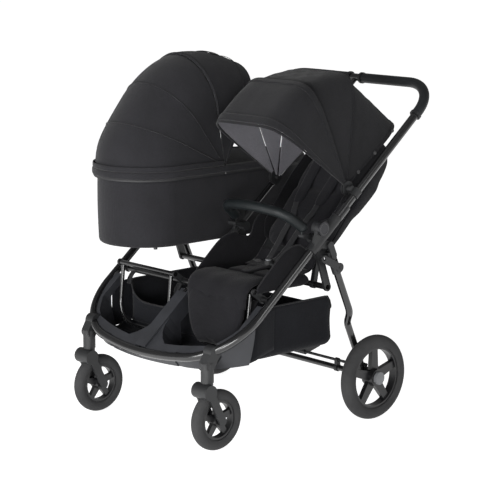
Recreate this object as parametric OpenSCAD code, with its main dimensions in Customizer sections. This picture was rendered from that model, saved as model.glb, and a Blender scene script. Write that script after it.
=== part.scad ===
// Side by side double stroller: carrycot on the left place, seat with canopy on the right place.
// Millimetres, Z up. The front faces -Y, X runs to the right when looking along +Y.
// Lengths along Y are counted from the front axle, and the whole is then centred on the origin.

/* [Side frame] */
// Half the distance between the two side tubes
side_x = 350; // [340:1:370]
// Slope of the frame plane above the ground, in degrees
frame_slope = 39.5; // [38:0.5:41]
// Distance of the frame split behind the front axle
hub_y = 356; // [346:1:366]
// Height of the frame split
hub_z = 597; // [590:1:605]
// Outside diameter of the frame tubes
tube_d = 25; // [22:0.5:26]
// Wall of the frame tubes
tube_wall = 1.6; // [1:0.1:3]
// Length from the split down to the front corner
lower_len = 491; // [480:1:500]
// How far the front rail runs ahead of its corners
rail_bow = 65; // [50:1:75]
// Bend radius of the front corners
corner_r = 200; // [180:1:210]
// Bend radius of the front rail at its middle
rail_r = 900; // [700:10:1000]
// Length from the split up to the push bar
upper_len = 640; // [620:1:660]
// Bend radius of the push bar corners
bar_r = 120; // [90:1:130]
// Diameter of the middle tubes
mid_tube_d = 16; // [14:0.5:17]

/* [Fold hubs] */
// Distance of the fold pin in front of the tube line
hub_offset = 28; // [26:1:32]
// Radius of the lug around the fold pin
lug_r = 19; // [16:0.5:20]
// Length of each tube socket
socket_len = 70; // [55:1:80]
// Wall of the tube sockets
socket_wall = 4; // [3:0.5:5]
// Diameter of the fold pins
fold_pin_d = 10; // [8:0.5:12]
// Distance of the leg pin behind the tube line
leg_offset = 38; // [36:1:42]
// Distance of the leg pin below the split, along the tube
leg_drop = 6; // [5:0.5:10]
// Radius of the lug around the leg pin
leg_lug_r = 12; // [11:0.5:13]

/* [Rear frame] */
// Distance between the front and the rear axle
wheelbase = 566; // [550:1:580]
// Half the distance between the rear wheels' middles
rear_track_x = 359; // [355:1:370]
// Diameter of the rear wheels
rear_wheel_d = 262; // [250:1:270]
// Width of the rear tyres
rear_tyre_w = 44; // [38:1:46]
// Diameter of the rear leg tubes
leg_d = 22; // [20:0.5:24]
// How far the rear legs jog inward
leg_jog = 28; // [26:1:32]
// Diameter of the rear axle bar
axle_bar_d = 18; // [15:0.5:20]
// Diameter of the wheel axles
axle_d = 10; // [8:0.5:12]

/* [Castors] */
// Half the distance between the castor stems
castor_x = 276.5; // [270:0.5:280]
// How far the front axle trails the castor stem
trail = 33; // [28:1:36]
// Diameter of the front wheels
front_wheel_d = 180; // [170:1:184]
// Width of the front tyres
front_tyre_w = 38; // [34:1:40]
// Diameter of the castor stems
stem_d = 12; // [10:0.5:14]
// Radius of the castor housings
housing_r = 19; // [17:0.5:21]
// Height of the underside of the castor housings
housing_z = 207; // [205:1:212]

/* [Seat] */
// Distance of the seat pad's middle from the middle of the stroller
seat_x = 173.5; // [172:0.5:176]
// Width of the seat pad
seat_w = 254; // [240:1:254]
// Depth of the seat pad
seat_len = 238; // [220:1:245]
// Thickness of the seat pad
seat_pad_t = 40; // [25:1:44]
// Width of the backrest board
back_w = 252; // [240:1:256]
// Length of the backrest
back_len = 440; // [400:1:450]
// Slope of the backrest above the ground, in degrees
back_slope = 49; // [45:1:52]
// Thickness of the backrest pad
back_pad_t = 40; // [25:1:45]
// Length of the calf rest
calf_len = 184; // [170:1:188]
// Diameter of the cross tubes
cross_d = 18; // [16:0.5:20]

/* [Canopy] */
// Reach of the canopy from its pivot
canopy_r = 349; // [335:1:352]
// Distance of the canopy pivot above the split, along the tube
canopy_s = 170; // [168:1:180]
// Distance of the canopy pivot in front of the tube line
canopy_n = 19; // [18:0.5:24]
// Thickness of the canopy panels
canopy_t = 3; // [2:0.5:4]
// Angle of the brim above the ground, in degrees
brim_angle = 145; // [140:1:147]
// Angle that each canopy panel spans, in degrees
panel_angle = 32; // [29:1:33]

/* [Carrycot] */
// Width of the carrycot over its rim
cot_w = 318; // [300:1:318]
// Length of the carrycot
cot_len = 760; // [740:1:770]
// Height of the carrycot's underside
cot_z = 540; // [536:1:548]
// Height of the fabric tub
cot_h = 202; // [190:1:210]
// Height of the rim
rim_h = 28; // [20:1:32]
// Thickness of the tub walls
cot_wall = 6; // [4:0.5:8]
// Thickness of the mattress
mattress_t = 38; // [25:1:45]

/* [Basket] */
// Width of the basket
basket_w = 600; // [570:1:602]
// Height of the underside of the basket
basket_z = 236; // [230:1:250]
// Thickness of the basket walls
basket_wall = 3; // [2:0.5:5]

/* [Hidden] */
$fn = 48;
// Gap between parts that turn or slide on each other
run_gap = 0.4;
// Gap between fixed parts
fit = 0.15;
// Overrun of cuts
over = 1;

tube_r = tube_d / 2;
front_wheel_r = front_wheel_d / 2;
rear_wheel_r = rear_wheel_d / 2;
castor_y = -trail;
bar_y = hub_y + upper_len * cos(frame_slope);
bar_z = hub_z + upper_len * sin(frame_slope);
grip_wall = 3.2;
grip_d = tube_d + 2 * grip_wall;
front_y = -front_wheel_r;
back_y = bar_y + grip_d / 2;
centre_y = (front_y + back_y) / 2;

// A point of the frame plane's side view, s along the tubes and n in front of them, as [y, z]
function plane_point(s, n) = [hub_y + s * cos(frame_slope) - n * sin(frame_slope),
                              hub_z + s * sin(frame_slope) + n * cos(frame_slope)];
// Height of the tube line at a distance y
function tube_line_z(y) = hub_z + (y - hub_y) * tan(frame_slope);
function unit(v) = v / norm(v);
function heading(a, b) = atan2(b.y - a.y, b.x - a.x);
function wrap(a) = a > 180 ? a - 360 : (a < -180 ? a + 360 : a);
function turn_at(p, i) = wrap(heading(p[i], p[i + 1]) - heading(p[i - 1], p[i]));
function trim_at(p, r, i) = i == 0 || i == len(p) - 1 ? 0 : r[i] * tan(abs(turn_at(p, i)) / 2);

fold_pin = plane_point(0, hub_offset);
leg_pin = plane_point(-leg_drop, -leg_offset);
rear_axle = [wheelbase, rear_wheel_r];
leg_angle = atan2(rear_axle.y - leg_pin.y, rear_axle.x - leg_pin.x);
leg_len = norm(rear_axle - leg_pin);
canopy_pin = plane_point(canopy_s, canopy_n);

// Pieces shared by many modules

module at_origin() translate([0, -centre_y, 0]) children();
module both_sides() {
  children();
  mirror([1, 0, 0]) children();
}
module in_plane() translate([0, hub_y, hub_z]) rotate([frame_slope, 0, 0]) children();
// Extrudes a side view, drawn as [y, z], from x0 to x1
module x_plate(x0, x1) translate([x0, 0, 0]) rotate([90, 0, 90]) linear_extrude(x1 - x0) children();
module x_rod(x0, x1, d, at) translate([x0, at.x, at.y]) rotate([0, 90, 0]) cylinder(h = x1 - x0, d = d);
// Turns a profile, drawn as [radius, x], about the X axis from angle a0 to a1, counted from +Y to +Z
module x_revolve(a0, a1) rotate([0, 90, 0]) rotate([0, 0, a0 + 90]) rotate_extrude(angle = a1 - a0) children();
neck_share = 0.985;
module capsule(p, q, rp, rq) {
  r = neck_share * min(rp, rq);
  translate(p) circle(r = rp);
  translate(q) circle(r = rq);
  translate(p) rotate(heading(p, q)) translate([0, -r]) square([norm(q - p), 2 * r]);
}
ring_steps = 48;
bend_steps = 192;
bend_lap = 1.5;
bend_grow = 0.12;
module ring(d, wall) difference() {
  circle(d = d, $fn = ring_steps);
  if (wall > 0) circle(d = d - 2 * wall, $fn = ring_steps);
}
// A round tube along straight runs in the XY plane, with a bend of radius r[i] at each inner point p[i]
module bent_tube(p, r, d, wall) {
  for (i = [0 : len(p) - 2]) {
    a = heading(p[i], p[i + 1]);
    start = trim_at(p, r, i);
    run = norm(p[i + 1] - p[i]) - start - trim_at(p, r, i + 1);
    translate(p[i]) rotate(a) translate([start, 0, 0]) rotate([0, 90, 0]) linear_extrude(run) ring(d, wall);
  }
  for (i = [1 : len(p) - 2]) {
    t = turn_at(p, i);
    a = heading(p[i - 1], p[i]);
    side = t > 0 ? 1 : -1;
    begin = p[i] - trim_at(p, r, i) * [cos(a), sin(a)];
    middle = begin + side * r[i] * [-sin(a), cos(a)];
    lap = bend_lap / r[i] * 180 / PI;
    translate(middle) rotate(a - side * 90 + (t > 0 ? 0 : t) - lap)
      rotate_extrude(angle = abs(t) + 2 * lap, $fn = bend_steps)
        translate([r[i], 0]) ring(d + 2 * bend_grow, wall > 0 ? wall + 2 * bend_grow : 0);
  }
}

// Front frame

socket_insert = 24;
lower_end_s = -socket_insert;
corner = [side_x, -lower_len];
rail_mid = [0, -lower_len - rail_bow];
front_path = [[side_x, lower_end_s], corner, rail_mid, [-corner.x, corner.y], [-side_x, lower_end_s]];
front_bends = [0, corner_r, rail_r, corner_r, 0];
rail_turn = atan(rail_bow / side_x);
rail_front_s = rail_mid.y + rail_r * (1 / cos(rail_turn) - 1);
corner_turn = 90 - rail_turn;
bend_s = corner.y + corner_r * tan(corner_turn / 2);

module front_frame_tube() color("#17181a") at_origin() in_plane()
  bent_tube(front_path, front_bends, tube_d, tube_wall);

mid_tube_lower_s = rail_front_s + tube_r + run_gap;
module centre_tube() color("#17181a") at_origin() in_plane()
  translate([0, mid_tube_lower_s, 0]) rotate([-90, 0, 0])
    linear_extrude(lower_end_s - mid_tube_lower_s) ring(mid_tube_d, tube_wall);

// Cross tubes that carry the seat, the calf rests and the basket
cross_y = 150;
cross_at = [cross_y, tube_line_z(cross_y)];
rear_tube_at = [392, 432];
module seat_cross_tubes() color("#1b1c1e") at_origin() {
  both_sides() x_plate(mid_tube_d / 2 + run_gap, side_x - tube_r - run_gap)
    translate(cross_at) ring(cross_d, tube_wall);
  x_plate(-hanger_x, hanger_x) translate(rear_tube_at) ring(cross_d, tube_wall);
}

// Fold hubs: each is a lap joint of a lower and an upper half on one pin
socket_r = tube_r + socket_wall;
lap_gap = 0.3;
hub_half_w = 14;
hanger_t = 6;
hanger_x = side_x - socket_r - fit;
mid_hub_half_w = 10.5;
mid_lug_half_w = 9;
lug_foot_share = 0.64;
lug_foot_s = lug_foot_share * socket_len;
lug_foot_in = 1.5;
leg_lug_t = 14;
lug_root_s = 26;
lug_root_r = 13;
hanger_top_s = -20;

// Lap joint halves in the frame plane; dir is -1 for the lower and 1 for the upper half
module hub_solid(x, r, half_w, dir) translate([x, 0, 0]) {
  translate([0, dir * lap_gap, 0]) rotate([-90 * dir, 0, 0]) cylinder(h = socket_len, r = r);
  intersection() {
    x_plate(dir > 0 ? -half_w : lap_gap, dir > 0 ? -lap_gap : half_w)
      capsule([0, hub_offset], [dir * lug_foot_s, 0], lug_r, r - lug_foot_in);
    union() {
      x_rod(-half_w, half_w, 2 * lug_r, [0, hub_offset]);
      x_plate(-half_w, half_w) translate([dir > 0 ? lap_gap : -socket_len - lap_gap, -r])
        square([socket_len, hub_offset + lug_r + r]);
    }
  }
}
module hub_cuts(x, bore_d, half_w, dir) translate([x, 0, 0]) {
  translate([0, dir * (socket_insert - fit), 0]) rotate([-90 * dir, 0, 0])
    cylinder(h = socket_len + over, d = bore_d);
  x_rod(dir > 0 ? -fit : -half_w - over, dir > 0 ? half_w + over : fit, 2 * (lug_r + run_gap), [0, hub_offset]);
  x_rod(-half_w - over, half_w + over, fold_pin_d + 2 * fit, [0, hub_offset]);
}
module hub_half(x, r, bore_d, half_w, dir) difference() {
  hub_solid(x, r, half_w, dir);
  hub_cuts(x, bore_d, half_w, dir);
}

// Plate that hangs from the lower hub and carries the rear cross tube
module hanger(x0, x1) x_plate(x0, x1) difference() {
  capsule(plane_point(hanger_top_s, 0), rear_tube_at, hanger_foot_r, hanger_foot_r);
  translate(rear_tube_at) circle(d = cross_d + 2 * fit);
}
hanger_foot_r = 12.5;

mount_r = 14;
mount_w = 18;
gate_y = 300;
gate_z = 622;
gate_in = 32;
gate_x = side_x - gate_in;
gate_pin_d = 8;
latch_x = 27;
latch_gap = 4.5;
mid_mount_x = 35;
arm_tip_r = 6.5;
bumper_d = 30;
knuckle_d = 32;
mount_seat = bumper_d / 2 + arm_tip_r + latch_gap;

// Short arm on the hub that holds one end of the bumper bar
module bumper_arm(x0, x1) x_plate(x0, x1)
  capsule(plane_point(hanger_top_s, 0), [gate_y, gate_z - mount_seat], mount_r, arm_tip_r);

// Lower hub of one side with its leg lug and hanger; arm adds the arm of the bumper bar
module lower_side_hub(arm) difference() {
  union() {
    in_plane() hub_solid(side_x, socket_r, hub_half_w, -1);
    in_plane() x_plate(side_x - leg_lug_t / 2, side_x + leg_lug_t / 2)
      capsule([-lug_root_s, -tube_r], [-leg_drop, -leg_offset], lug_root_r, leg_lug_r);
    hanger(hanger_x - hanger_t, hanger_x + socket_wall / 2);
    if (arm) bumper_arm(hanger_x - hanger_t - mount_w, hanger_x - hanger_t / 2);
  }
  in_plane() hub_cuts(side_x, tube_d + 2 * fit, hub_half_w, -1);
  in_plane() x_rod(0, side_x + leg_lug_t, leg_pin_d + 2 * fit, [-leg_drop, -leg_offset]);
  if (arm) translate([gate_x, gate_y, gate_z - mount_seat - bumper_d])
    cylinder(h = 2 * bumper_d, d = gate_pin_d + 2 * run_gap);
}
module lower_hubs() color("#26282a") at_origin() {
  lower_side_hub(true);
  mirror([1, 0, 0]) lower_side_hub(false);
  difference() {
    union() {
      in_plane() hub_solid(0, mid_hub_half_w, mid_lug_half_w, -1);
      hanger(-hanger_t, hanger_t);
      bumper_arm(0, mid_mount_x);
    }
    in_plane() hub_cuts(0, mid_tube_d + 2 * fit, mid_lug_half_w, -1);
  }
}
leg_pin_d = 8;

// Pins of the fold hubs, with the round caps that show outside, and pins of the rear legs
cap_r = 21;
cap_t = 8;
cap_gap = 1.2;
module pivot_pins() color("#3a3d40") at_origin() {
  both_sides() {
    x_rod(side_x - hub_half_w, side_x + hub_half_w + cap_gap, fold_pin_d, fold_pin);
    x_rod(side_x + hub_half_w + cap_gap, side_x + hub_half_w + cap_t, 2 * cap_r, fold_pin);
  }
  x_rod(-mid_lug_half_w, mid_lug_half_w, fold_pin_d, fold_pin);
  both_sides() x_rod(side_x - fork_gap - fork_t, side_x + fork_gap + fork_t, leg_pin_d, leg_pin);
}

// Castor housings, clamped under the front corners of the frame tube
saddle_s = bend_s - sqrt(corner_r * corner_r - pow(castor_x - (side_x - corner_r), 2));
saddle_at = plane_point(saddle_s, 0);
saddle_r = 20;
housing_top = 264;
saddle_half = 17;
saddle_z = 258;
stem_top = 258;
module castor_housings() color("#232527") at_origin() both_sides() difference() {
  union() {
    translate([castor_x, castor_y, housing_z]) cylinder(h = housing_top - housing_z, r = housing_r);
    x_plate(castor_x - saddle_half, castor_x + saddle_half)
      capsule([castor_y, saddle_z], saddle_at, saddle_half, saddle_r);
  }
  in_plane() translate([side_x - corner_r, bend_s, 0]) rotate_extrude($fn = bend_steps)
    translate([corner_r, 0]) ring(tube_d + 2 * fit, 0);
  translate([castor_x, castor_y, housing_z - over]) cylinder(h = stem_top - housing_z + 2 * over, d = stem_d + 2 * run_gap);
}

// Footrest: a moulded panel inside the front bend, with two wells and a spine over the middle tube
tray_back_z = 246;
tray_back_y = 84;
tray_slope = 8;
tray_floor_t = 5;
tray_rim = 25;
tray_front = 40;
tray_end_s = -250;
tray_stop_y = 126;
plate_top = 4;
plate_low = -20;
spine_w = 46;
spine_end_s = -310;
spine_top = 10;
spine_low = -40;
well_out = 36;
well_depth = 150;
// Edge of the spine: half its width, and how far along the frame
spine_edge = [[23, -250], [23, -405], [27, -432], [37, -456], [58, -480], [96, -506]];
// Region inside the front bend of the frame tube, grown by g
module rail_region(g) intersection() {
  union() {
    for (side = [-1, 1]) translate([side * (side_x - corner_r), bend_s]) circle(r = corner_r + g, $fn = bend_steps);
    translate([-(side_x - corner_r), bend_s - corner_r - rail_bow])
      square([2 * (side_x - corner_r), corner_r + rail_bow]);
    translate([-side_x - g, bend_s]) square([2 * (side_x + g), tray_end_s - bend_s]);
  }
  translate([0, rail_front_s + rail_r]) circle(r = rail_r + g, $fn = bend_steps);
  translate([-2 * side_x, 2 * rail_front_s]) square([4 * side_x, tray_end_s - 2 * rail_front_s]);
}
module spine_region() polygon(concat(spine_edge,
  [for (i = [len(spine_edge) - 1 : -1 : 0]) [-spine_edge[i].x, spine_edge[i].y]]));
// The two wells
module well_region() difference() {
  intersection() {
    union() {
      rail_region(-tray_rim);
      translate([-side_x, bend_s]) square([2 * side_x, -bend_s]);
    }
    translate([0, rail_front_s + rail_r]) circle(r = rail_r - tray_front, $fn = bend_steps);
    translate([well_out - side_x, 2 * rail_front_s]) square([2 * (side_x - well_out), -2 * rail_front_s]);
  }
  spine_region();
}
module slab(low, high) in_plane() translate([0, 0, low]) linear_extrude(high - low) children();
// Space above the tray's sloped floor, raised by up, as far back as back
function tray_floor_z(y) = tray_back_z + (y - tray_back_y) * tan(tray_slope);
module above_floor(up, back) x_plate(-side_x - tube_d, side_x + tube_d)
  polygon([[2 * front_y, tray_floor_z(2 * front_y) + up], [back, tray_floor_z(back) + up],
    [back, hub_z], [2 * front_y, hub_z]]);
module footrest_tray() color("#1f2123") at_origin() difference() {
  union() {
    intersection() {
      slab(-well_depth, -tube_r - fit) rail_region(tube_r / 2);
      above_floor(0, tray_back_y);
    }
    intersection() {
      union() {
        slab(plate_low, plate_top) rail_region(-tube_r - fit);
        in_plane() translate([-spine_w / 2, mid_tube_lower_s + run_gap, spine_low])
          cube([spine_w, spine_end_s - mid_tube_lower_s - run_gap, spine_top - spine_low]);
      }
      above_floor(0, tray_stop_y);
    }
  }
  intersection() {
    slab(-2 * well_depth, well_depth) well_region();
    above_floor(tray_floor_t, 2 * tray_stop_y);
  }
  both_sides() translate([castor_x, castor_y, 0]) cylinder(h = hub_z, r = saddle_r + over);
  both_sides() translate([castor_x - saddle_half - over, castor_y, 0])
    cube([2 * (saddle_half + over), saddle_at.x + saddle_r + over - castor_y, hub_z]);
  in_plane() translate([0, mid_tube_lower_s - tube_r, 0]) rotate([-90, 0, 0])
    cylinder(h = lower_len, d = mid_tube_d + 2 * fit);
}

// Calf rests hinge on brackets that stand on the front cross tube
calf_y = 118;
calf_z = 452;
calf_at = [calf_y, calf_z];
calf_tube_d = 14;
bracket_t = 6;
place_in = 40;
place_out = 312;
module calf_hinges() color("#26282a") at_origin() both_sides()
  for (x = [place_in, place_out - bracket_t]) x_plate(x, x + bracket_t) difference() {
    capsule(cross_at, calf_at, cross_d / 2 + bracket_wall, calf_tube_d / 2 + bracket_wall);
    translate(cross_at) circle(d = cross_d + 2 * fit);
    translate(calf_at) circle(d = calf_tube_d + 2 * run_gap);
  }
bracket_wall = 3;

// Bare frame of a calf rest: a tube that hangs from its hinge
calf_lean = 96;
calf_bend_r = 70;
calf_side = 14;
calf_half = (place_out - place_in) / 2 - bracket_t - calf_side;
calf_mid = (place_out + place_in) / 2;
module calf_frame() translate([calf_mid, calf_at.x, calf_at.y]) {
  rotate([-calf_lean, 0, 0])
    bent_tube([[-calf_half, calf_tube_d / 2], [-calf_half, calf_len], [calf_half, calf_len], [calf_half, calf_tube_d / 2]],
      [0, calf_bend_r, calf_bend_r, 0], calf_tube_d - tube_wall, 0);
  x_rod(-calf_half - calf_side - bracket_t, calf_half + calf_side + bracket_t, calf_tube_d, [0, 0]);
}
module left_calf_frame() color("#1b1c1e") at_origin() mirror([1, 0, 0]) calf_frame();
module right_calf_frame() color("#1b1c1e") at_origin() calf_frame();

// Cushions: a closed grid with a crowned top, drawn-in sides and sewn channels across it

cushion_cols = 16;
rows_per_channel = 6;
plain_rows = 12;
edge_share = 0.42;
draw_share = 0.035;
channel_share = 0.17;
base_share = 0.06;
fall_share = 0.12;
edge_power = 6;
channel_power = 8;
// Rise of the top at u, from 0 at the edges to 1 inside
function edge_rise(u) = sqrt(max(0, 1 - pow(abs(u), edge_power)));
function channel_dip(v, count) = count == 0 || abs(v) > 1 - 1 / (count + 1) ? 0
  : channel_share * pow(abs(cos(90 * (v + 1) * (count + 1))), channel_power);
// Height of the top and of the base at u, v from -1 to 1, as shares of the thickness
function crown(u, v, count) = edge_share + (1 - edge_share) * edge_rise(u) * edge_rise(v)
  * (1 - fall_share * (u * u + v * v)) - channel_dip(v, count) * edge_rise(u);
function tuck(u, v) = base_share * (1 - edge_rise(u) * edge_rise(v));
function drawn(u, v) = u * (1 - draw_share * (1 - v * v) * abs(u));
taper_from = -0.3;
taper_power = 1.5;
module cushion(w, l, t, channels, taper = 0) {
  rows = channels == 0 ? plain_rows : rows_per_channel * (channels + 1);
  n = cushion_cols + 1;
  m = rows + 1;
  us = [for (i = [0 : n - 1]) 2 * i / cushion_cols - 1];
  vs = [for (j = [0 : m - 1]) 2 * j / rows - 1];
  half = [for (v = vs) w / 2 * (1 - taper * pow(max(0, v - taper_from) / (1 - taper_from), taper_power))];
  top = [for (j = [0 : m - 1]) for (u = us)
    [drawn(u, vs[j]) * half[j], drawn(vs[j], u) * l / 2, t * crown(u, vs[j], channels)]];
  base = [for (j = [0 : m - 1]) for (u = us)
    [drawn(u, vs[j]) * half[j], drawn(vs[j], u) * l / 2, t * tuck(u, vs[j])]];
  k = n * m;
  cells = [for (j = [0 : m - 2]) for (i = [0 : n - 2]) j * n + i];
  rim = concat([for (i = [0 : n - 2]) i], [for (j = [0 : m - 2]) j * n + n - 1],
    [for (i = [n - 1 : -1 : 1]) (m - 1) * n + i], [for (j = [m - 1 : -1 : 1]) j * n]);
  pairs = [for (i = [0 : len(rim) - 1]) [rim[i], rim[(i + 1) % len(rim)]]];
  faces = concat(
    [for (c = cells) [c, c + n, c + n + 1]], [for (c = cells) [c, c + n + 1, c + 1]],
    [for (c = cells) [k + c, k + c + n + 1, k + c + n]], [for (c = cells) [k + c, k + c + 1, k + c + n + 1]],
    [for (e = pairs) [e[0], e[1], k + e[1]]], [for (e = pairs) [e[0], k + e[1], k + e[0]]]);
  polyhedron(concat(top, base), faces);
}

// Seat of the right place
seat_front_y = 134;
seat_slope = atan2(rear_tube_at.y - cross_at.y, rear_tube_at.x - cross_at.x);
seat_lift = cross_d / 2 + run_gap;
module on_seat() translate([seat_x, cross_at.x, cross_at.y]) rotate([seat_slope, 0, 0])
  translate([0, seat_front_y - cross_y + seat_len / 2, seat_lift]) children();
seat_channels = 2;
side_cloth_t = 3;
side_cloth_in = 36;
side_cloth_out = 313;
side_cloth_top = [[122, 447], [122, 466], [232, 560], [284, 574], [318, 556], [356, 556], [374, 600],
  [430, 640], [478, 640]];
inner_cloth = concat(side_cloth_top, [[462, 560], [410, 470], [400, 447]]);
outer_cloth = concat(side_cloth_top, [[470, 628], [420, 590], [360, 541], [300, 492], [240, 447]]);
module seat_pad() color("#2b2c2f") at_origin() {
  on_seat() cushion(seat_w, seat_len, seat_pad_t, seat_channels);
  x_plate(side_cloth_in, side_cloth_in + side_cloth_t) polygon(inner_cloth);
  x_plate(side_cloth_out, side_cloth_out + side_cloth_t) polygon(outer_cloth);
}

// Backrest: a board on the rear cross tube, with a pad and the shoulder straps on it
board_n = 41;
board_t = 8;
board_s = 59;
arm_x = 100;
arm_w = 14;
back_corner_r = 60;
module on_back() translate([seat_x, rear_tube_at.x, rear_tube_at.y]) rotate([back_slope, 0, 0]) children();
module back_outline(w, l) {
  translate([-w / 2, 0]) square([w, l - back_corner_r]);
  translate([-w / 2 + back_corner_r, 0]) square([w - 2 * back_corner_r, l]);
  for (side = [-1, 1]) translate([side * (w / 2 - back_corner_r), l - back_corner_r]) circle(r = back_corner_r);
}
module backrest_board() color("#222325") at_origin() on_back() difference() {
  union() {
    translate([0, board_s, board_n]) linear_extrude(board_t) back_outline(back_w, back_len);
    for (x = [-arm_x, arm_x]) x_plate(x - arm_w / 2, x + arm_w / 2)
      capsule([0, 0], [board_s + arm_w, board_n], cross_d / 2 + bracket_wall, board_t);
  }
  x_rod(-back_w, back_w, cross_d + 2 * run_gap, [0, 0]);
}
back_pad_inset = 8;
back_channels = 3;
module backrest_pad() color("#2b2c2f") at_origin() on_back()
  translate([0, board_s + back_len / 2, board_n + board_t + fit])
    cushion(back_w - back_pad_inset, back_len - back_pad_inset, back_pad_t, back_channels);

strap_x = 48;
strap_w = 46;
strap_t = 9;
strap_s = 150;
strap_len = 210;
module shoulder_harness() color("#242528") at_origin() on_back() for (side = [-1, 1])
  translate([side * strap_x, board_s + strap_s, board_n + board_t + back_pad_t + run_gap])
    rotate(side * strap_toe) linear_extrude(strap_t) capsule([0, 0], [0, strap_len], strap_w / 2, strap_w / 2);
strap_toe = 4;

// Crotch strap with the round buckle that the waist and shoulder straps meet in
buckle_y = 70;
buckle_r = 17;
buckle_t = 12;
button_r = 9;
button_t = 5;
crotch_w = 44;
crotch_len = 80;
crotch_t = 10;
module crotch_strap() color("#242528") at_origin() on_seat()
  translate([0, crotch_y, seat_pad_t + run_gap]) linear_extrude(crotch_t)
    capsule([0, 0], [0, crotch_len], crotch_w / 2, buckle_r);
crotch_y = -30;
module at_buckle() on_seat() translate([0, crotch_y + crotch_len, seat_pad_t + 2 * run_gap + crotch_t]) children();
module buckle() color("#4b4e52") at_origin() at_buckle() difference() {
  union() {
    cylinder(h = buckle_t, r = buckle_r);
    translate([-buckle_ear, -buckle_r / 2, 0]) cube([2 * buckle_ear, buckle_r, buckle_t / 2]);
  }
  translate([0, 0, buckle_t - button_t]) cylinder(h = button_t + over, r = button_r + run_gap);
}
buckle_ear = 27;
module buckle_button() color("#85888c") at_origin() at_buckle()
  translate([0, 0, buckle_t - button_t + button_travel]) cylinder(h = button_t, r = button_r);
button_travel = 3;

// Padded calf rest in front of its frame
calf_pad_t = 24;
calf_pad_top = 6;
module calf_rest_pad() color("#2b2c2f") at_origin() translate([seat_x, calf_at.x, calf_at.y])
  rotate([-calf_lean, 0, 0]) rotate([0, 180, 0]) translate([0, calf_pad_top + calf_pad_len / 2, calf_tube_d / 2 + bracket_wall + run_gap])
    cushion(calf_pad_w, calf_pad_len, calf_pad_t, 0, calf_taper);
calf_pad_w = 262;
calf_taper = 0.46;
calf_pad_short = 6;
calf_pad_len = calf_len - calf_pad_short;

// Bumper bar across the right place, hinged at its outer end
bumper_rise = 38;
bumper_reach = 92;
bumper_side = 14;
bumper_corner = 70;
bumper_r = 50;
bumper_bow_r = 320;
bumper_start = 0;
bumper_path = [[gate_x, bumper_start], [gate_x - bumper_side, bumper_corner],
  [(gate_x + latch_x) / 2, bumper_reach], [latch_x + bumper_side, bumper_corner], [latch_x, bumper_start]];
release_d = 14;
release_t = 10;
release_sink = 5;
release_travel = 3;
module in_bumper() translate([0, gate_y, gate_z]) rotate([180 - bumper_rise, 0, 0]) children();
module bumper_bar() color("#2d3434") at_origin() {
  difference() {
    in_bumper() bent_tube(bumper_path, [0, bumper_r, bumper_bow_r, bumper_r, 0], bumper_d, 0);
    in_bumper() translate([latch_x, release_sink + release_travel + run_gap, 0]) rotate([90, 0, 0])
      cylinder(h = bumper_d, d = release_d + 2 * run_gap);
  }
  translate([gate_x, gate_y, gate_z]) sphere(d = knuckle_d);
  translate([gate_x, gate_y, gate_z - mount_seat - arm_tip_r]) cylinder(h = mount_seat, d = gate_pin_d);
}
// Release button in the latch end of the bumper bar
module bumper_button() color("#8a8d90") at_origin() in_bumper()
  translate([latch_x, release_sink, 0]) rotate([90, 0, 0]) cylinder(h = release_t, d = release_d);

// Upper frame
handle_path = [[side_x, socket_insert], [side_x, upper_len], [-side_x, upper_len], [-side_x, socket_insert]];
handle_bends = [0, bar_r, bar_r, 0];
module push_bar_tube() color("#17181a") at_origin() in_plane() bent_tube(handle_path, handle_bends, tube_d, tube_wall);

module centre_upper_tube() color("#17181a") at_origin() in_plane()
  translate([0, socket_insert, 0]) rotate([-90, 0, 0])
    linear_extrude(upper_len - socket_insert - tube_r - run_gap) ring(mid_tube_d, tube_wall);

module upper_hubs() color("#26282a") at_origin() in_plane() {
  both_sides() hub_half(side_x, socket_r, tube_d + 2 * fit, hub_half_w, 1);
  hub_half(0, mid_hub_half_w, mid_tube_d + 2 * fit, mid_lug_half_w, 1);
}

// Grips from near the middle of the push bar round each corner
grip_in = 30;
grip_down = 128;
grip_clear = 0.45;
module grips() color("#2b3231") at_origin() in_plane() for (side = [-1, 1])
  bent_tube([[side * side_x, upper_len - grip_down], [side * side_x, upper_len], [side * grip_in, upper_len]],
    [0, bar_r, 0], grip_d, grip_wall - grip_clear);
collar_t = 8;
collar_d = grip_d + 5;
module grip_collars() color("#1f2123") at_origin() in_plane() both_sides() {
  x_plate(grip_in - collar_t, grip_in - fit) translate([upper_len, 0]) ring(collar_d, (collar_d - tube_d) / 2 - fit);
  translate([side_x, upper_len - grip_down - collar_t, 0]) rotate([-90, 0, 0])
    linear_extrude(collar_t - fit) ring(collar_d, (collar_d - tube_d) / 2 - fit);
}

// Fold lock: sleeves that slide up the side tubes to free the hubs
sleeve_len = 46;
sleeve_s = socket_len + run_gap;
sleeve_travel = 12;
sleeve_wall = 4.5;
module fold_sleeves() color("#3b3e41") at_origin() in_plane() both_sides()
  translate([side_x, sleeve_s + lap_gap, 0]) rotate([-90, 0, 0]) linear_extrude(sleeve_len)
    ring(tube_d + 2 * sleeve_wall, sleeve_wall - run_gap);

// Canopy: three nested panels that turn about one pin line, from the side tube to the middle tube
canopy_half_w = 157.5;
canopy_step = 7;
canopy_power = 6;
profile_steps = 24;
clamp_len = 26;
clamp_wall = 3;
disc_t = 3;
disc_r = 22;
stud_d = 10;
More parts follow.
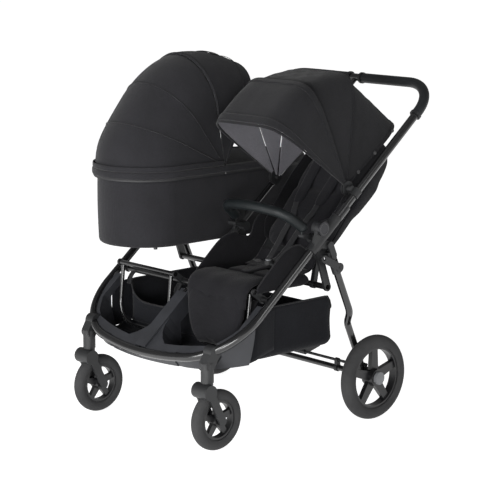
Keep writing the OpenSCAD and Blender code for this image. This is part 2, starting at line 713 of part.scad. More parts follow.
// Arch of the canopy, drawn as [reach, x], shrunk by inset
function arch(t, w, r) = [r * pow(sin(t), 2 / canopy_power), w * (cos(t) < 0 ? -1 : 1) * pow(abs(cos(t)), 2 / canopy_power)];
function arch_points(w, r) = [for (i = [0 : profile_steps]) arch(180 * i / profile_steps, w, r)];
module arch_band(inset, thick) difference() {
  polygon(arch_points(canopy_half_w - inset, canopy_r - inset));
  polygon(arch_points(canopy_half_w - inset - thick, canopy_r - inset - thick));
  translate([-stud_d, -canopy_half_w - over]) square([stud_d + stud_d / 2 + run_gap, 2 * (canopy_half_w + over)]);
}
module at_canopy() translate([seat_x, canopy_pin.x, canopy_pin.y]) children();
module canopy_panel(inset, a0, a1) at_canopy() x_revolve(a0, a1) arch_band(inset, canopy_t);

seam_lap = 1;
flap_angle = 8.5;
front_a0 = brim_angle - panel_angle;
mid_a0 = front_a0 - panel_angle + seam_lap;
rear_a0 = mid_a0 - panel_angle - flap_angle;
module canopy_front_panel() color("#26272a") at_origin() canopy_panel(0, front_a0, brim_angle - brim_turn);
module canopy_mid_panel() color("#26272a") at_origin() canopy_panel(canopy_step, mid_a0, front_a0 + seam_lap);
module canopy_rear_panel() color("#26272a") at_origin() canopy_panel(2 * canopy_step, rear_a0, mid_a0 + seam_lap);
brim_turn = 1.4;
brim_grow = 0.3;
module canopy_brim_bow() color("#1d1e20") at_origin() at_canopy()
  x_revolve(brim_angle - brim_turn + brim_gap, brim_angle) arch_band(0, canopy_t + brim_grow);
brim_gap = 0.1;

// Clamps on the upper tubes with the studs that the canopy turns on
rear_wall_x = canopy_half_w - 2 * canopy_step - canopy_t;
module canopy_brackets() color("#26282a") at_origin() {
  in_plane() difference() {
    union() {
      translate([side_x, canopy_s - clamp_len / 2, 0]) rotate([-90, 0, 0]) cylinder(h = clamp_len, r = tube_r + clamp_wall);
      x_plate(seat_x + canopy_half_w + disc_t + 3 * run_gap, side_x)
        capsule([canopy_s, 0], [canopy_s, canopy_n], tube_r, stud_d);
    }
    translate([side_x, canopy_s - clamp_len, 0]) rotate([-90, 0, 0]) cylinder(h = 2 * clamp_len, d = tube_d + 2 * fit);
  }
  in_plane() difference() {
    union() {
      translate([0, canopy_s - clamp_len / 2, 0]) rotate([-90, 0, 0]) cylinder(h = clamp_len, r = mid_hub_half_w);
      x_plate(0, seat_x - canopy_half_w - disc_t - 3 * run_gap)
        capsule([canopy_s, 0], [canopy_s, canopy_n], mid_tube_d / 2, stud_d);
    }
    translate([0, canopy_s - clamp_len, 0]) rotate([-90, 0, 0]) cylinder(h = 2 * clamp_len, d = mid_tube_d + 2 * fit);
  }
  at_canopy() {
    x_rod(rear_wall_x, canopy_half_w + disc_t + 3 * run_gap + over, stud_d, [0, 0]);
    x_rod(-canopy_half_w - disc_t - 3 * run_gap - over, -rear_wall_x, stud_d, [0, 0]);
  }
}
module hinge_disc(inset) at_canopy() for (side = [-1, 1]) mirror([side > 0 ? 0 : 1, 0, 0])
  x_plate(canopy_half_w - inset + run_gap, canopy_half_w - inset + run_gap + disc_t) difference() {
    circle(r = disc_r);
    circle(d = stud_d + 2 * run_gap);
  }
module canopy_front_discs() color("#303336") at_origin() hinge_disc(0);
module canopy_mid_discs() color("#303336") at_origin() hinge_disc(canopy_step);

// Rear frame

module on_leg() translate([0, leg_pin.x, leg_pin.y]) rotate([leg_angle, 0, 0]) children();
leg_top = 34;
jog_s = 236;
jog_run = 44;
jog_r = 50;
leg_in_x = side_x - leg_jog;
axle_block_wall = 5;
leg_end = axle_bar_d / 2 + axle_block_wall;
module rear_legs() color("#17181a") at_origin() on_leg() both_sides()
  bent_tube([[side_x, leg_top], [side_x, jog_s], [leg_in_x, jog_s + jog_run], [leg_in_x, leg_len - leg_end]],
    [0, jog_r, jog_r, 0], leg_d, tube_wall);

// Plastic fittings of the legs: a fork on the leg pin above, a block on the axle below, a bracket between
fork_gap = leg_lug_t / 2 + run_gap;
fork_t = 6.5;
fitting_wall = 3;
fitting_len = 30;
bracket_s = 54;
bracket_len = 42;
module leg_fittings() color("#26282a") at_origin() {
  on_leg() both_sides() leg_ends();
  both_sides() x_plate(bearing_x, bearing_x + bearing_w) difference() {
    capsule(rear_axle, brake_at, axle_bar_d / 2 + bracket_wall, shaft_d / 2 + bracket_wall);
    translate(rear_axle) circle(d = axle_bar_d + 2 * fit);
    translate(brake_at) circle(d = shaft_d + 2 * run_gap);
  }
}
bearing_x = 200;
bearing_w = 12;
module leg_ends() {
  difference() {
    union() {
      for (x = [-fork_gap - fork_t, fork_gap]) x_plate(side_x + x, side_x + x + fork_t)
        capsule([0, 0], [leg_top, 0], leg_lug_r, leg_d / 2);
      translate([side_x, leg_top - fitting_len / 2, 0]) rotate([-90, 0, 0]) cylinder(h = fitting_len, r = leg_d / 2 + fitting_wall);
    }
    translate([side_x, leg_top - fit, 0]) rotate([-90, 0, 0]) cylinder(h = fitting_len, d = leg_d + 2 * fit);
    x_rod(side_x - 2 * leg_d, side_x + 2 * leg_d, leg_pin_d + 2 * fit, [0, 0]);
    x_rod(side_x - fork_gap, side_x + fork_gap, 2 * (leg_lug_r + run_gap), [0, 0]);
  }
  difference() {
    translate([side_x, bracket_s, 0]) rotate([-90, 0, 0]) cylinder(h = bracket_len, r = leg_d / 2 + fitting_wall);
    translate([side_x, bracket_s - over, 0]) rotate([-90, 0, 0]) cylinder(h = bracket_len + 2 * over, d = leg_d + 2 * fit);
  }
  x_rod(side_x + leg_d / 2 + over, catch_x - run_gap, catch_boss_d, [catch_s, 0]);
  x_rod(side_x + leg_d / 2 + over, catch_x + catch_t + over, catch_pin_d, [catch_s, 0]);
  difference() {
    x_plate(leg_in_x - axle_block_w / 2, leg_in_x + axle_block_w / 2)
      capsule([leg_len, 0], [leg_len - fitting_len, 0], leg_end + fit, leg_d / 2 + fitting_wall);
    translate([leg_in_x, leg_len - 2 * fitting_len, 0]) rotate([-90, 0, 0])
      cylinder(h = 2 * fitting_len - leg_end + fit, d = leg_d + 2 * fit);
    x_rod(leg_in_x - leg_d, leg_in_x + leg_d, axle_d + 2 * fit, [leg_len, 0]);
    x_rod(leg_in_x - leg_d, leg_in_x, axle_bar_d + 2 * fit, [leg_len, 0]);
  }
}
axle_block_w = 20;

// Rear axle: a cross bar with a steel axle in each end
module rear_axle_bar() color("#1b1c1e") at_origin() {
  x_plate(-leg_in_x, leg_in_x) translate(rear_axle) circle(d = axle_bar_d);
  both_sides() x_rod(leg_in_x, rear_track_x + rear_tyre_w / 2 + axle_end, axle_d, rear_axle);
}
axle_end = 6;

// Fold catch: a hook plate on the right leg that holds the folded frame together
catch_t = 5;
catch_len = 74;
catch_pin_d = 7;
catch_boss_d = 16;
catch_s = bracket_s + bracket_len / 2;
catch_x = side_x + socket_r + over;
catch_r = 11;
catch_lift = 39;
module fold_catch() color("#2a2c2e") at_origin() on_leg() translate([0, catch_s, 0]) rotate([catch_lift, 0, 0])
  x_plate(catch_x, catch_x + catch_t) difference() {
    capsule([0, 0], [-catch_len, 0], catch_r + fitting_wall, catch_r);
    translate([-catch_len, 0]) circle(r = catch_r / 2);
    circle(d = catch_pin_d + 2 * run_gap);
  }

// Brake: a pedal on a cross shaft below the axle bar
pedal_w = 130;
pedal_len = 58;
pedal_t = 8;
pedal_drop = 24;
shaft_d = 9;
pawl_w = 8;
brake_at = rear_axle + [0, pedal_drop];
module brake_pedal() color("#2a2c2e") at_origin() {
  x_rod(-brake_half, brake_half, shaft_d, brake_at);
  x_plate(-pedal_w / 2, pedal_w / 2) capsule(brake_at, brake_at + [pedal_len, pedal_len / 4], shaft_d, pedal_t);
  both_sides() x_plate(brake_half - pawl_w, brake_half)
    capsule(brake_at, brake_at + [pedal_drop, 0], shaft_d, shaft_d / 2);
}
brake_gap = 2.4;
brake_half = leg_in_x - axle_block_w / 2 - brake_gap;

// Wheels, drawn about the X axis through their own middle

spokes = 5;
rim_share = 0.62;
seat_share = 0.82;
rim_t = 7;
hub_r_share = 0.21;
spoke_root_share = 0.25;
spoke_tip_share = 0.17;
spoke_t_share = 0.36;
module tyre(r, w) rotate([0, 90, 0]) rotate_extrude($fn = 96) difference() {
  translate([r - w / 2, 0]) circle(d = w);
  translate([0, -w]) square([r - seat_share * w, 2 * w]);
}
module rim(r, w, bore) {
  outer = r - seat_share * w - fit;
  inner = outer - rim_t;
  hub_r = hub_r_share * r;
  difference() {
    union() {
      rotate([0, 90, 0]) rotate_extrude($fn = 96) translate([inner, -rim_share * w / 2]) square([rim_t, rim_share * w]);
      x_rod(-w / 2, w / 2, 2 * hub_r, [0, 0]);
      for (i = [0 : spokes - 1]) rotate([90 + 360 * i / spokes, 0, 0]) x_plate(-spoke_t_share * w / 2, spoke_t_share * w / 2)
        polygon([[0, -spoke_root_share * r / 2], [inner + rim_t / 2, -spoke_tip_share * r / 2],
          [inner + rim_t / 2, spoke_tip_share * r / 2], [0, spoke_root_share * r / 2]]);
    }
    x_rod(-w, w, bore, [0, 0]);
  }
}
module at_front(side) translate([side * castor_x, 0, front_wheel_r]) children();
module at_rear(side) translate([side * rear_track_x, rear_axle.x, rear_axle.y]) mirror([side > 0 ? 0 : 1, 0, 0]) children();
module front_tyre(side) color("#2c2d2e") at_origin() at_front(side) tyre(front_wheel_r, front_tyre_w);
module front_rim(side) color("#1d1e20") at_origin() at_front(side) rim(front_wheel_r, front_tyre_w, axle_d + 2 * run_gap);
module rear_tyre(side) color("#2c2d2e") at_origin() at_rear(side) tyre(rear_wheel_r, rear_tyre_w);
module rear_rim(side) color("#1d1e20") at_origin() at_rear(side) difference() {
  rim(rear_wheel_r, rear_tyre_w, axle_d + 2 * run_gap);
  x_rod(rear_tyre_w / 2 - axle_end, rear_tyre_w, 2 * cap_seat_r, [0, 0]);
}
cap_seat_r = 20;
cap_wall = 2;
module rear_hub_caps() color("#8b8d90") at_origin() for (side = [-1, 1]) at_rear(side) difference() {
  x_rod(rear_tyre_w / 2 - axle_end + run_gap, rear_tyre_w / 2 + axle_end + cap_wall, 2 * (cap_seat_r - run_gap), [0, 0]);
  x_rod(0, rear_tyre_w / 2 + axle_end + fit, axle_d + 2 * fit, [0, 0]);
}

// Castor fork: a stem, a rounded crown and two arms to the axle
crown_r = 23;
crown_ahead = 12;
crown_z = 182;
arm_t = 8;
arm_gap = 4;
arm_top_r = 19;
arm_low_r = 13;
wheel_gap = 4;
collar_r = 17;
crown_half = front_tyre_w / 2 + arm_gap + arm_t;
module castor_fork(side) color("#232527") at_origin() translate([side * castor_x, castor_y, 0]) {
  difference() {
    union() {
      translate([0, 0, crown_z]) cylinder(h = stem_top - crown_z, d = stem_d);
      translate([0, 0, crown_z]) cylinder(h = housing_z - run_gap - crown_z, r = collar_r);
      x_rod(-crown_half, crown_half, 2 * crown_r, [-crown_ahead, crown_z]);
      for (s = [-1, 1]) x_plate(s * (crown_half - arm_t / 2) - arm_t / 2, s * (crown_half - arm_t / 2) + arm_t / 2)
        capsule([-crown_ahead, crown_z], [trail, front_wheel_r], arm_top_r, arm_low_r);
    }
    x_rod(-crown_half + arm_t, crown_half - arm_t, front_wheel_d + 2 * wheel_gap, [trail, front_wheel_r]);
  }
  x_rod(-crown_half - fit, crown_half + fit, axle_d, [trail, front_wheel_r]);
}

// Carrycot

cot_gap = 3.5;
cot_x = -(mid_hub_half_w + cot_gap + cot_w / 2);
cot_front_y = -43;
cot_r = cot_w / 2;
tub_taper = 12;
rim_z = cot_z + cot_h;
rim_top = rim_z + rim_h;
hood_r = 339;
hood_pin = [cot_front_y + hood_r, rim_top + 2 * run_gap];
hood_step = 4.5;
hood_t = 2.5;
hood_span = 40;
hood_brim = 60;
// Plan of the carrycot, drawn in by g
module cot_plan(g) {
  for (y = [cot_front_y + cot_r, cot_front_y + cot_len - cot_r]) translate([cot_x, y]) circle(r = cot_r - g);
  translate([cot_x - cot_r + g, cot_front_y + cot_r]) square([2 * (cot_r - g), cot_len - 2 * cot_r]);
}
module cot_slab(g, z, t) translate([0, 0, z]) linear_extrude(t) cot_plan(g);
tub_slab = 1;
tub_inset = 3;
module tub_shape(g, z0) hull() {
  cot_slab(tub_taper + g, z0, tub_slab, $fn = 32);
  cot_slab(tub_inset + g, rim_z - tub_slab, tub_slab + (g > 0 ? over : 0), $fn = 32);
}
peg_d = 14;
peg_h = 24;
peg_x = 28;
peg_in = 26;
peg_y = 372;
peg_xs = [cot_x - cot_r + tub_taper + peg_x, cot_x + cot_r - tub_taper - peg_in];
module cot_tub() color("#28292c") at_origin() difference() {
  tub_shape(0, cot_z);
  tub_shape(cot_wall, cot_z + cot_wall);
  for (x = peg_xs) translate([x, peg_y, cot_z - over]) cylinder(h = cot_wall + 2 * over, d = peg_d + 4 * run_gap);
}
hood_band = 9;
module cot_rim() color("#1e1f21") at_origin() {
  difference() {
    cot_slab(0, rim_z + fit, rim_h - fit);
    cot_slab(tub_inset + cot_wall + hood_band, rim_z - over, rim_h + 2 * over);
  }
  hood_pivots();
}
socket_block_r = 13;
foot_d = 12;
foot_h = 10;
foot_y_share = 0.24;
foot_x_share = 0.3;
module cot_fittings() color("#232527") at_origin() {
  for (x = peg_xs) translate([x, peg_y, cot_z + cot_wall + fit]) difference() {
    cylinder(h = peg_h, r = socket_block_r);
    translate([0, 0, -over]) cylinder(h = peg_h - cot_wall + over, d = peg_d + 2 * run_gap);
  }
  for (sx = [-1, 1]) for (sy = [-1, 1]) translate([cot_x + sx * foot_x_share * cot_w,
    cot_front_y + cot_len / 2 + sy * (0.5 - foot_y_share / 2) * cot_len * foot_place_share, cot_z - foot_h - fit])
    cylinder(h = foot_h, d = foot_d);
}
foot_place_share = 0.92;
mattress_z = cot_z + cot_wall + peg_h + 2 * run_gap;
mattress_inset = 22;
module cot_mattress() color("#c9c6c0") at_origin() cot_slab(mattress_inset, mattress_z, mattress_t);

// Hood: nested panels with the plan of the cot's round end, about the hood pins
module hood_profile(g) {
  w = cot_r - g;
  flat = hood_r - cot_r;
  translate([0, -w]) square([flat, 2 * w]);
  translate([flat, 0]) circle(r = w);
}
module hood_band_shape(g) difference() {
  hood_profile(g);
  hood_profile(g + hood_t);
  translate([-cot_w, -cot_w]) square([cot_w + hood_pin_r + run_gap, 2 * cot_w]);
}
hood_pin_r = 4;
module at_hood() translate([cot_x, hood_pin.x, hood_pin.y]) children();
module hood_panel(g, a0, a1) at_hood() x_revolve(a0, a1) hood_band_shape(g);
hood_lap = 1;
module cot_hood_rear() color("#28292c") at_origin() hood_panel(0, hood_brim, hood_brim + hood_span);
module cot_hood_mid() color("#28292c") at_origin()
  hood_panel(hood_step, hood_brim + hood_span - hood_lap, hood_brim + 2 * hood_span);
module cot_hood_front() color("#28292c") at_origin()
  hood_panel(2 * hood_step, hood_brim + 2 * hood_span - hood_lap, 180);
hood_disc_r = 20;
hood_disc_t = 4;
// Pivots of the hood, on the inside of the rim
module hood_pivots() at_hood() for (side = [-1, 1]) mirror([side > 0 ? 0 : 1, 0, 0]) {
  x_rod(hood_in_x - hood_disc_t, cot_r, 2 * hood_pin_r, [0, 0]);
  x_plate(hood_in_x - hood_disc_t, hood_in_x) capsule([0, 0], [0, -rim_h / 2], hood_disc_r / 2, hood_disc_r / 2);
}
hood_in_x = cot_r - 2 * hood_step - hood_t - run_gap;
// Carry handle sunk in the top of the hood
handle_half_w = 46;
handle_a0 = 76;
handle_a1 = 82;
handle_t = 4;
module cot_carry_handle() color("#1b1c1e") at_origin() at_hood() intersection() {
  x_revolve(handle_a0, handle_a1) difference() {
    translate([hood_r - cot_r, 0]) circle(r = cot_r + run_gap + handle_t);
    translate([hood_r - cot_r, 0]) circle(r = cot_r + run_gap);
    translate([-cot_w, -cot_w]) square([cot_w + hood_r - cot_r, 2 * cot_w]);
  }
  translate([-handle_half_w, -hood_r, -hood_r]) cube([2 * handle_half_w, 3 * hood_r, 3 * hood_r]);
}
// Cover over the foot end
apron_y = cot_front_y + hood_r;
apron_t = 3;
module cot_apron() color("#28292c") at_origin() intersection() {
  cot_slab(apron_in, rim_top - apron_sink, apron_t);
  translate([cot_x - cot_w, apron_y, 0]) cube([2 * cot_w, cot_len, 2 * hub_z]);
}
apron_in = tub_inset + cot_wall + hood_band + fit;
apron_sink = 6;

// Adaptors that carry the carrycot, on the left hanger and the middle hanger
adaptor_h = 18;
adaptor_half = 20;
module cot_adaptors() color("#26282a") at_origin() {
  adaptor(-(hanger_x - hanger_t - fit), peg_xs[0]);
  adaptor(peg_xs[1], -(hanger_t + fit));
}
module adaptor(x0, x1) {
  peg = x0 < peg_xs[0] ? peg_xs[0] : peg_xs[1];
  translate([x0, peg_y - adaptor_half, cot_z - fit - adaptor_h]) cube([x1 - x0, 2 * adaptor_half, adaptor_h]);
  translate([peg, peg_y, cot_z - fit - adaptor_h]) cylinder(h = adaptor_h, r = adaptor_half);
  translate([peg, peg_y, cot_z - fit]) cylinder(h = peg_h - 2 * cot_wall, d = peg_d);
}

// Basket: an open fabric tray under the seats
basket_front_y = 130;
basket_back_y = 470;
basket_top_z = 396;
basket_nose = 30;
flap_y = 88;
flap_rise_y = 129;
flap_drop = 36;
flap_x = 315;
strap_end = 1.5;
strap_sink = 14;
module basket_side(g) polygon([[basket_front_y + g, basket_z + basket_nose + g], [basket_front_y + basket_nose, basket_z + g],
  [basket_back_y - basket_nose, basket_z + g], [basket_back_y - g, basket_z + basket_nose + g],
  [basket_back_y - g, basket_top_z + (g > 0 ? over : 0)], [basket_front_y + g, basket_top_z + (g > 0 ? over : 0)]]);
module basket() color("#2b2c2e") at_origin() {
  difference() {
    x_plate(-basket_w / 2, basket_w / 2) basket_side(0);
    x_plate(-basket_w / 2 + basket_wall, basket_w / 2 - basket_wall) basket_side(basket_wall);
  }
  both_sides() {
    x_plate(flap_x, flap_x + basket_wall) polygon([[flap_y, basket_z + basket_nose],
      [basket_front_y + basket_wall, basket_z + basket_nose], [basket_front_y + basket_wall, basket_top_z - over],
      [flap_rise_y, tube_line_z(flap_rise_y) - flap_drop], [flap_y, tube_line_z(flap_y) - flap_drop]]);
    translate([basket_w / 2 - 2 * basket_wall, basket_front_y, basket_z + basket_nose])
      cube([flap_x - basket_w / 2 + 2.5 * basket_wall, basket_wall, basket_top_z - over - basket_z - basket_nose]);
  }
  both_sides() for (x = [place_in + 2 * bracket_t, place_out - 3 * bracket_t]) x_plate(x, x + bracket_t)
    capsule([basket_front_y + basket_wall / 2, basket_top_z - strap_sink],
      [cross_y, cross_at.y - cross_d / 2 - strap_end - run_gap], strap_end, strap_end);
}

front_frame_tube();
centre_tube();
seat_cross_tubes();
lower_hubs();
pivot_pins();
castor_housings();
footrest_tray();
calf_hinges();
seat_pad();
crotch_strap();
buckle();
buckle_button();
basket();
cot_adaptors();
backrest_board();
backrest_pad();
shoulder_harness();
left_calf_frame();
right_calf_frame();
calf_rest_pad();
bumper_bar();
bumper_button();
push_bar_tube();
centre_upper_tube();
upper_hubs();
grips();
grip_collars();
fold_sleeves();
canopy_brackets();
canopy_rear_panel();
canopy_mid_discs();
canopy_mid_panel();
canopy_front_discs();
canopy_front_panel();
canopy_brim_bow();
rear_legs();
leg_fittings();
rear_axle_bar();
fold_catch();
brake_pedal();
castor_fork(-1);  // left_castor_fork
castor_fork(1);  // right_castor_fork
front_tyre(-1);  // left_front_tyre
front_tyre(1);  // right_front_tyre
front_rim(-1);  // left_front_rim
front_rim(1);  // right_front_rim
rear_tyre(-1);  // left_rear_tyre
rear_tyre(1);  // right_rear_tyre
rear_rim(-1);  // left_rear_rim
rear_rim(1);  // right_rear_rim
rear_hub_caps();
cot_tub();
cot_rim();
cot_fittings();
cot_mattress();
cot_apron();
cot_hood_front();
cot_hood_mid();
cot_hood_rear();
cot_carry_handle();
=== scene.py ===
"""Looks of the side by side double stroller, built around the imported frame."""
import math
from collections import namedtuple

import bpy
import numpy as np
from mathutils import Matrix, Vector


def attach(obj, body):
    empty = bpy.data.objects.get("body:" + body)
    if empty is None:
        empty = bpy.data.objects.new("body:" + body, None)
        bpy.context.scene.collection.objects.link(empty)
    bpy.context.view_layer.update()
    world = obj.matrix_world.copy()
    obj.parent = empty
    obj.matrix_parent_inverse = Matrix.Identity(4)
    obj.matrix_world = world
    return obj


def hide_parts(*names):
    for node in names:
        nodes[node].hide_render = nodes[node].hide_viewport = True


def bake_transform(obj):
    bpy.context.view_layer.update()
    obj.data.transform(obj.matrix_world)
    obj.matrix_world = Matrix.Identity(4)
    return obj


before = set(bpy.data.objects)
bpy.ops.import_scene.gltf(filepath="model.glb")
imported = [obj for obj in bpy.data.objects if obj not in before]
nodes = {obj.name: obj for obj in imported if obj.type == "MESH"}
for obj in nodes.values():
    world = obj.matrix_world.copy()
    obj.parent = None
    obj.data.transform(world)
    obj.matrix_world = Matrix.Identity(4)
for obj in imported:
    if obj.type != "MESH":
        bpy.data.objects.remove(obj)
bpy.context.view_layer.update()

# Lengths below are in millimetres from the front axle, as in the part's source
MM = 0.001
CENTRE_Y = 387.77
SLOPE = math.radians(39.5)
HUB = (356.0, 597.0)
SEAT_X = 173.5
SIDES = ((-1, "left"), (1, "right"))


def places(points):
    """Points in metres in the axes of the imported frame."""
    q = np.asarray(points, float) * MM
    q[..., 1] -= CENTRE_Y * MM
    return q


def place(*point):
    return tuple(places(point))


def plane_point(s, n):
    """A point in y and z, s along the side tubes from the hub and n above them."""
    c, d = math.cos(SLOPE), math.sin(SLOPE)
    return (HUB[0] + s * c - n * d, HUB[1] + s * d + n * c)


def tube_line_z(y):
    return HUB[1] + (y - HUB[0]) * math.tan(SLOPE)


def on_circle(radius, degrees):
    a = math.radians(degrees)
    return radius * math.cos(a), radius * math.sin(a)


def rounded(u, power):
    """Height of a soft edge: 1 in the middle of -1 to 1, and 0 at its ends."""
    return math.sqrt(max(0.0, 1 - abs(u) ** power))


def clamp(value):
    return min(1.0, max(0.0, value))


# Materials

WEAVE = 210.0
MELANGE = 620.0
RUBBER = (0.028, 0.028, 0.029)
RUBBER_DARK = (0.022, 0.022, 0.023)
RUBBER_LIGHT = (0.04, 0.04, 0.041)


def material(name, base, rough):
    m = bpy.data.materials.new(name)
    m.use_nodes = True
    t = m.node_tree
    b = t.nodes["Principled BSDF"]
    b.inputs["Base Color"].default_value = (*base, 1)
    b.inputs["Roughness"].default_value = rough
    return m, t, b


def coords(t, scale=(1.0, 1.0, 1.0)):
    c = t.nodes.new("ShaderNodeTexCoord")
    m = t.nodes.new("ShaderNodeMapping")
    m.inputs["Scale"].default_value = scale
    t.links.new(c.outputs["Object"], m.inputs["Vector"])
    return m.outputs["Vector"]


def noise(t, vector, scale, detail=2.0, rough=0.5):
    n = t.nodes.new("ShaderNodeTexNoise")
    n.inputs["Scale"].default_value = scale
    n.inputs["Detail"].default_value = detail
    n.inputs["Roughness"].default_value = rough
    t.links.new(vector, n.inputs["Vector"])
    return n.outputs["Fac"]


def wave(t, vector, direction):
    n = t.nodes.new("ShaderNodeTexWave")
    n.bands_direction = direction
    n.inputs["Scale"].default_value = WEAVE
    n.inputs["Distortion"].default_value = 0.4
    t.links.new(vector, n.inputs["Vector"])
    return n.outputs["Fac"]


def ramp(t, value, low, high):
    """Colour between two stops, each a place and a colour."""
    r = t.nodes.new("ShaderNodeValToRGB")
    for e, (pos, col) in zip(r.color_ramp.elements, (low, high)):
        e.position = pos
        e.color = (*col, 1)
    t.links.new(value, r.inputs["Fac"])
    return r.outputs["Color"]


def maths(t, kind, a, b=None):
    n = t.nodes.new("ShaderNodeMath")
    n.operation = kind
    for i, v in enumerate((a, b)):
        if v is None:
            continue
        if isinstance(v, (int, float)):
            n.inputs[i].default_value = v
        else:
            t.links.new(v, n.inputs[i])
    return n.outputs["Value"]


def bump(t, b, height, strength, distance, normal=None):
    n = t.nodes.new("ShaderNodeBump")
    n.inputs["Strength"].default_value = strength
    n.inputs["Distance"].default_value = distance
    t.links.new(height, n.inputs["Height"])
    if normal is not None:
        t.links.new(normal, n.inputs["Normal"])
    t.links.new(n.outputs["Normal"], b.inputs["Normal"])
    return n.outputs["Normal"]


def spread(t, value, low, high):
    n = t.nodes.new("ShaderNodeMapRange")
    n.inputs["To Min"].default_value = low
    n.inputs["To Max"].default_value = high
    t.links.new(value, n.inputs["Value"])
    return n.outputs["Result"]


def cloth_material(name, dark, light, rough=0.88, crease=0.25, gloss=0.25):
    m, t, b = material(name, dark, rough)
    b.inputs["Sheen Weight"].default_value = 0.48 * gloss
    b.inputs["Sheen Roughness"].default_value = 0.5
    b.inputs["Specular IOR Level"].default_value = gloss
    v = coords(t)
    warp, weft, depth = (wave(t, v, direction) for direction in "XZY")
    weave = maths(t, "MULTIPLY", maths(t, "ADD", warp, depth), maths(t, "ADD", weft, depth))
    melange = noise(t, v, MELANGE)
    cloud = noise(t, v, 11.0, 3.0)
    tone = maths(t, "ADD", maths(t, "MULTIPLY", melange, 0.75), maths(t, "MULTIPLY", cloud, 0.25))
    t.links.new(ramp(t, tone, (0.36, dark), (0.64, light)), b.inputs["Base Color"])
    fine = bump(t, b, weave, 0.22, 0.0006)
    bump(t, b, noise(t, v, 26.0, 3.0, 0.55), crease, 0.004, fine)
    t.links.new(spread(t, melange, rough - 0.06, rough + 0.06), b.inputs["Roughness"])
    return m


def plastic_material(name, base, rough, grain=900.0, depth=0.12):
    m, t, b = material(name, base, rough)
    v = coords(t)
    w = noise(t, v, 18.0, 3.0)
    dark = tuple(c * 0.86 for c in base)
    light = tuple(min(1.0, c * 1.16) for c in base)
    t.links.new(ramp(t, w, (0.35, dark), (0.65, light)), b.inputs["Base Color"])
    bump(t, b, noise(t, v, grain), depth, 0.0005)
    t.links.new(spread(t, w, rough - 0.06, rough + 0.07), b.inputs["Roughness"])
    return m


def paint_material(name, base, rough):
    m, t, b = material(name, base, rough)
    b.inputs["Coat Weight"].default_value = 0.5
    b.inputs["Coat Roughness"].default_value = 0.08
    v = coords(t)
    w = noise(t, v, 30.0, 3.0)
    light = tuple(c * 1.3 for c in base)
    t.links.new(ramp(t, w, (0.3, base), (0.7, light)), b.inputs["Base Color"])
    bump(t, b, noise(t, v, 260.0), 0.03, 0.0004)
    t.links.new(spread(t, w, rough - 0.04, rough + 0.06), b.inputs["Roughness"])
    return m


def leather_material(name, base, rough):
    m, t, b = material(name, base, rough)
    b.inputs["Specular IOR Level"].default_value = 0.3
    v = coords(t)
    cells = t.nodes.new("ShaderNodeTexVoronoi")
    cells.feature = "SMOOTH_F1"
    cells.inputs["Scale"].default_value = 420.0
    t.links.new(v, cells.inputs["Vector"])
    grain = cells.outputs["Distance"]
    light = tuple(c * 1.35 for c in base)
    t.links.new(ramp(t, noise(t, v, 22.0, 3.0), (0.3, base), (0.7, light)), b.inputs["Base Color"])
    bump(t, b, grain, 0.35, 0.0008)
    t.links.new(spread(t, grain, rough - 0.08, rough + 0.1), b.inputs["Roughness"])
    return m


def tyre_material(name, centre, radius, half_w, lugs):
    """Rubber with tread blocks across the tread and a smooth wall, about the wheel's own axis."""
    m, t, b = material(name, RUBBER, 0.82)
    c = t.nodes.new("ShaderNodeTexCoord")
    sep = t.nodes.new("ShaderNodeSeparateXYZ")
    t.links.new(c.outputs["Object"], sep.inputs["Vector"])
    x, y, z = (maths(t, "SUBTRACT", sep.outputs[axis], float(at)) for axis, at in zip("XYZ", centre))
    turned = maths(t, "MULTIPLY", maths(t, "ARCTAN2", z, y), float(lugs))
    skew = maths(t, "MULTIPLY", maths(t, "ABSOLUTE", x), 1.0 / half_w)
    blocks = maths(t, "SINE", maths(t, "ADD", turned, maths(t, "MULTIPLY", skew, 2.2)))
    grooves = maths(t, "COSINE", maths(t, "MULTIPLY", x, 3.0 * math.pi / half_w))
    squares = maths(t, "ADD", maths(t, "MULTIPLY", y, y), maths(t, "MULTIPLY", z, z))
    outer = maths(t, "GREATER_THAN", maths(t, "SQRT", squares), float(radius - 0.45 * half_w))
    tread = maths(t, "ADD", blocks, maths(t, "MULTIPLY", grooves, 0.6))
    pattern = maths(t, "MULTIPLY", maths(t, "GREATER_THAN", tread, 0.1), outer)
    v = coords(t)
    height = maths(t, "ADD", pattern, maths(t, "MULTIPLY", noise(t, v, 500.0), 0.08))
    bump(t, b, height, 0.7, 0.0022)
    tone = ramp(t, noise(t, v, 14.0, 3.0), (0.3, RUBBER_DARK), (0.7, RUBBER_LIGHT))
    t.links.new(tone, b.inputs["Base Color"])
    return m


def steel_material(name, base, rough):
    m, t, b = material(name, base, rough)
    b.inputs["Metallic"].default_value = 0.8
    bump(t, b, noise(t, coords(t, (1200.0, 60.0, 60.0)), 1.0), 0.1, 0.0004)
    return m


CLOTH = cloth_material("cloth_black", (0.0058, 0.0057, 0.0068), (0.0150, 0.0148, 0.0172))
CLOTH_SEAT = cloth_material("cloth_seat", (0.0044, 0.0043, 0.0053), (0.0118, 0.0115, 0.0140), gloss=0.15)
CLOTH_COT = cloth_material("cloth_cot", (0.0078, 0.0076, 0.0091), (0.0196, 0.0192, 0.0226))
MESH_CLOTH = cloth_material("cloth_basket", (0.0042, 0.0045, 0.0060), (0.0105, 0.0111, 0.0142), gloss=0.15)
LINING = cloth_material("canopy_lining", (0.15, 0.147, 0.164), (0.25, 0.245, 0.268), 0.7, 0.3)
PALE_LINER = cloth_material("cot_liner", (0.30, 0.295, 0.285), (0.42, 0.415, 0.40), 0.85, 0.2)
WEBBING = cloth_material("webbing", (0.006, 0.006, 0.0068), (0.015, 0.015, 0.017), 0.75, 0.05)
THREAD = cloth_material("stitch_thread", (0.010, 0.010, 0.011), (0.03, 0.03, 0.032), 0.7, 0.05)
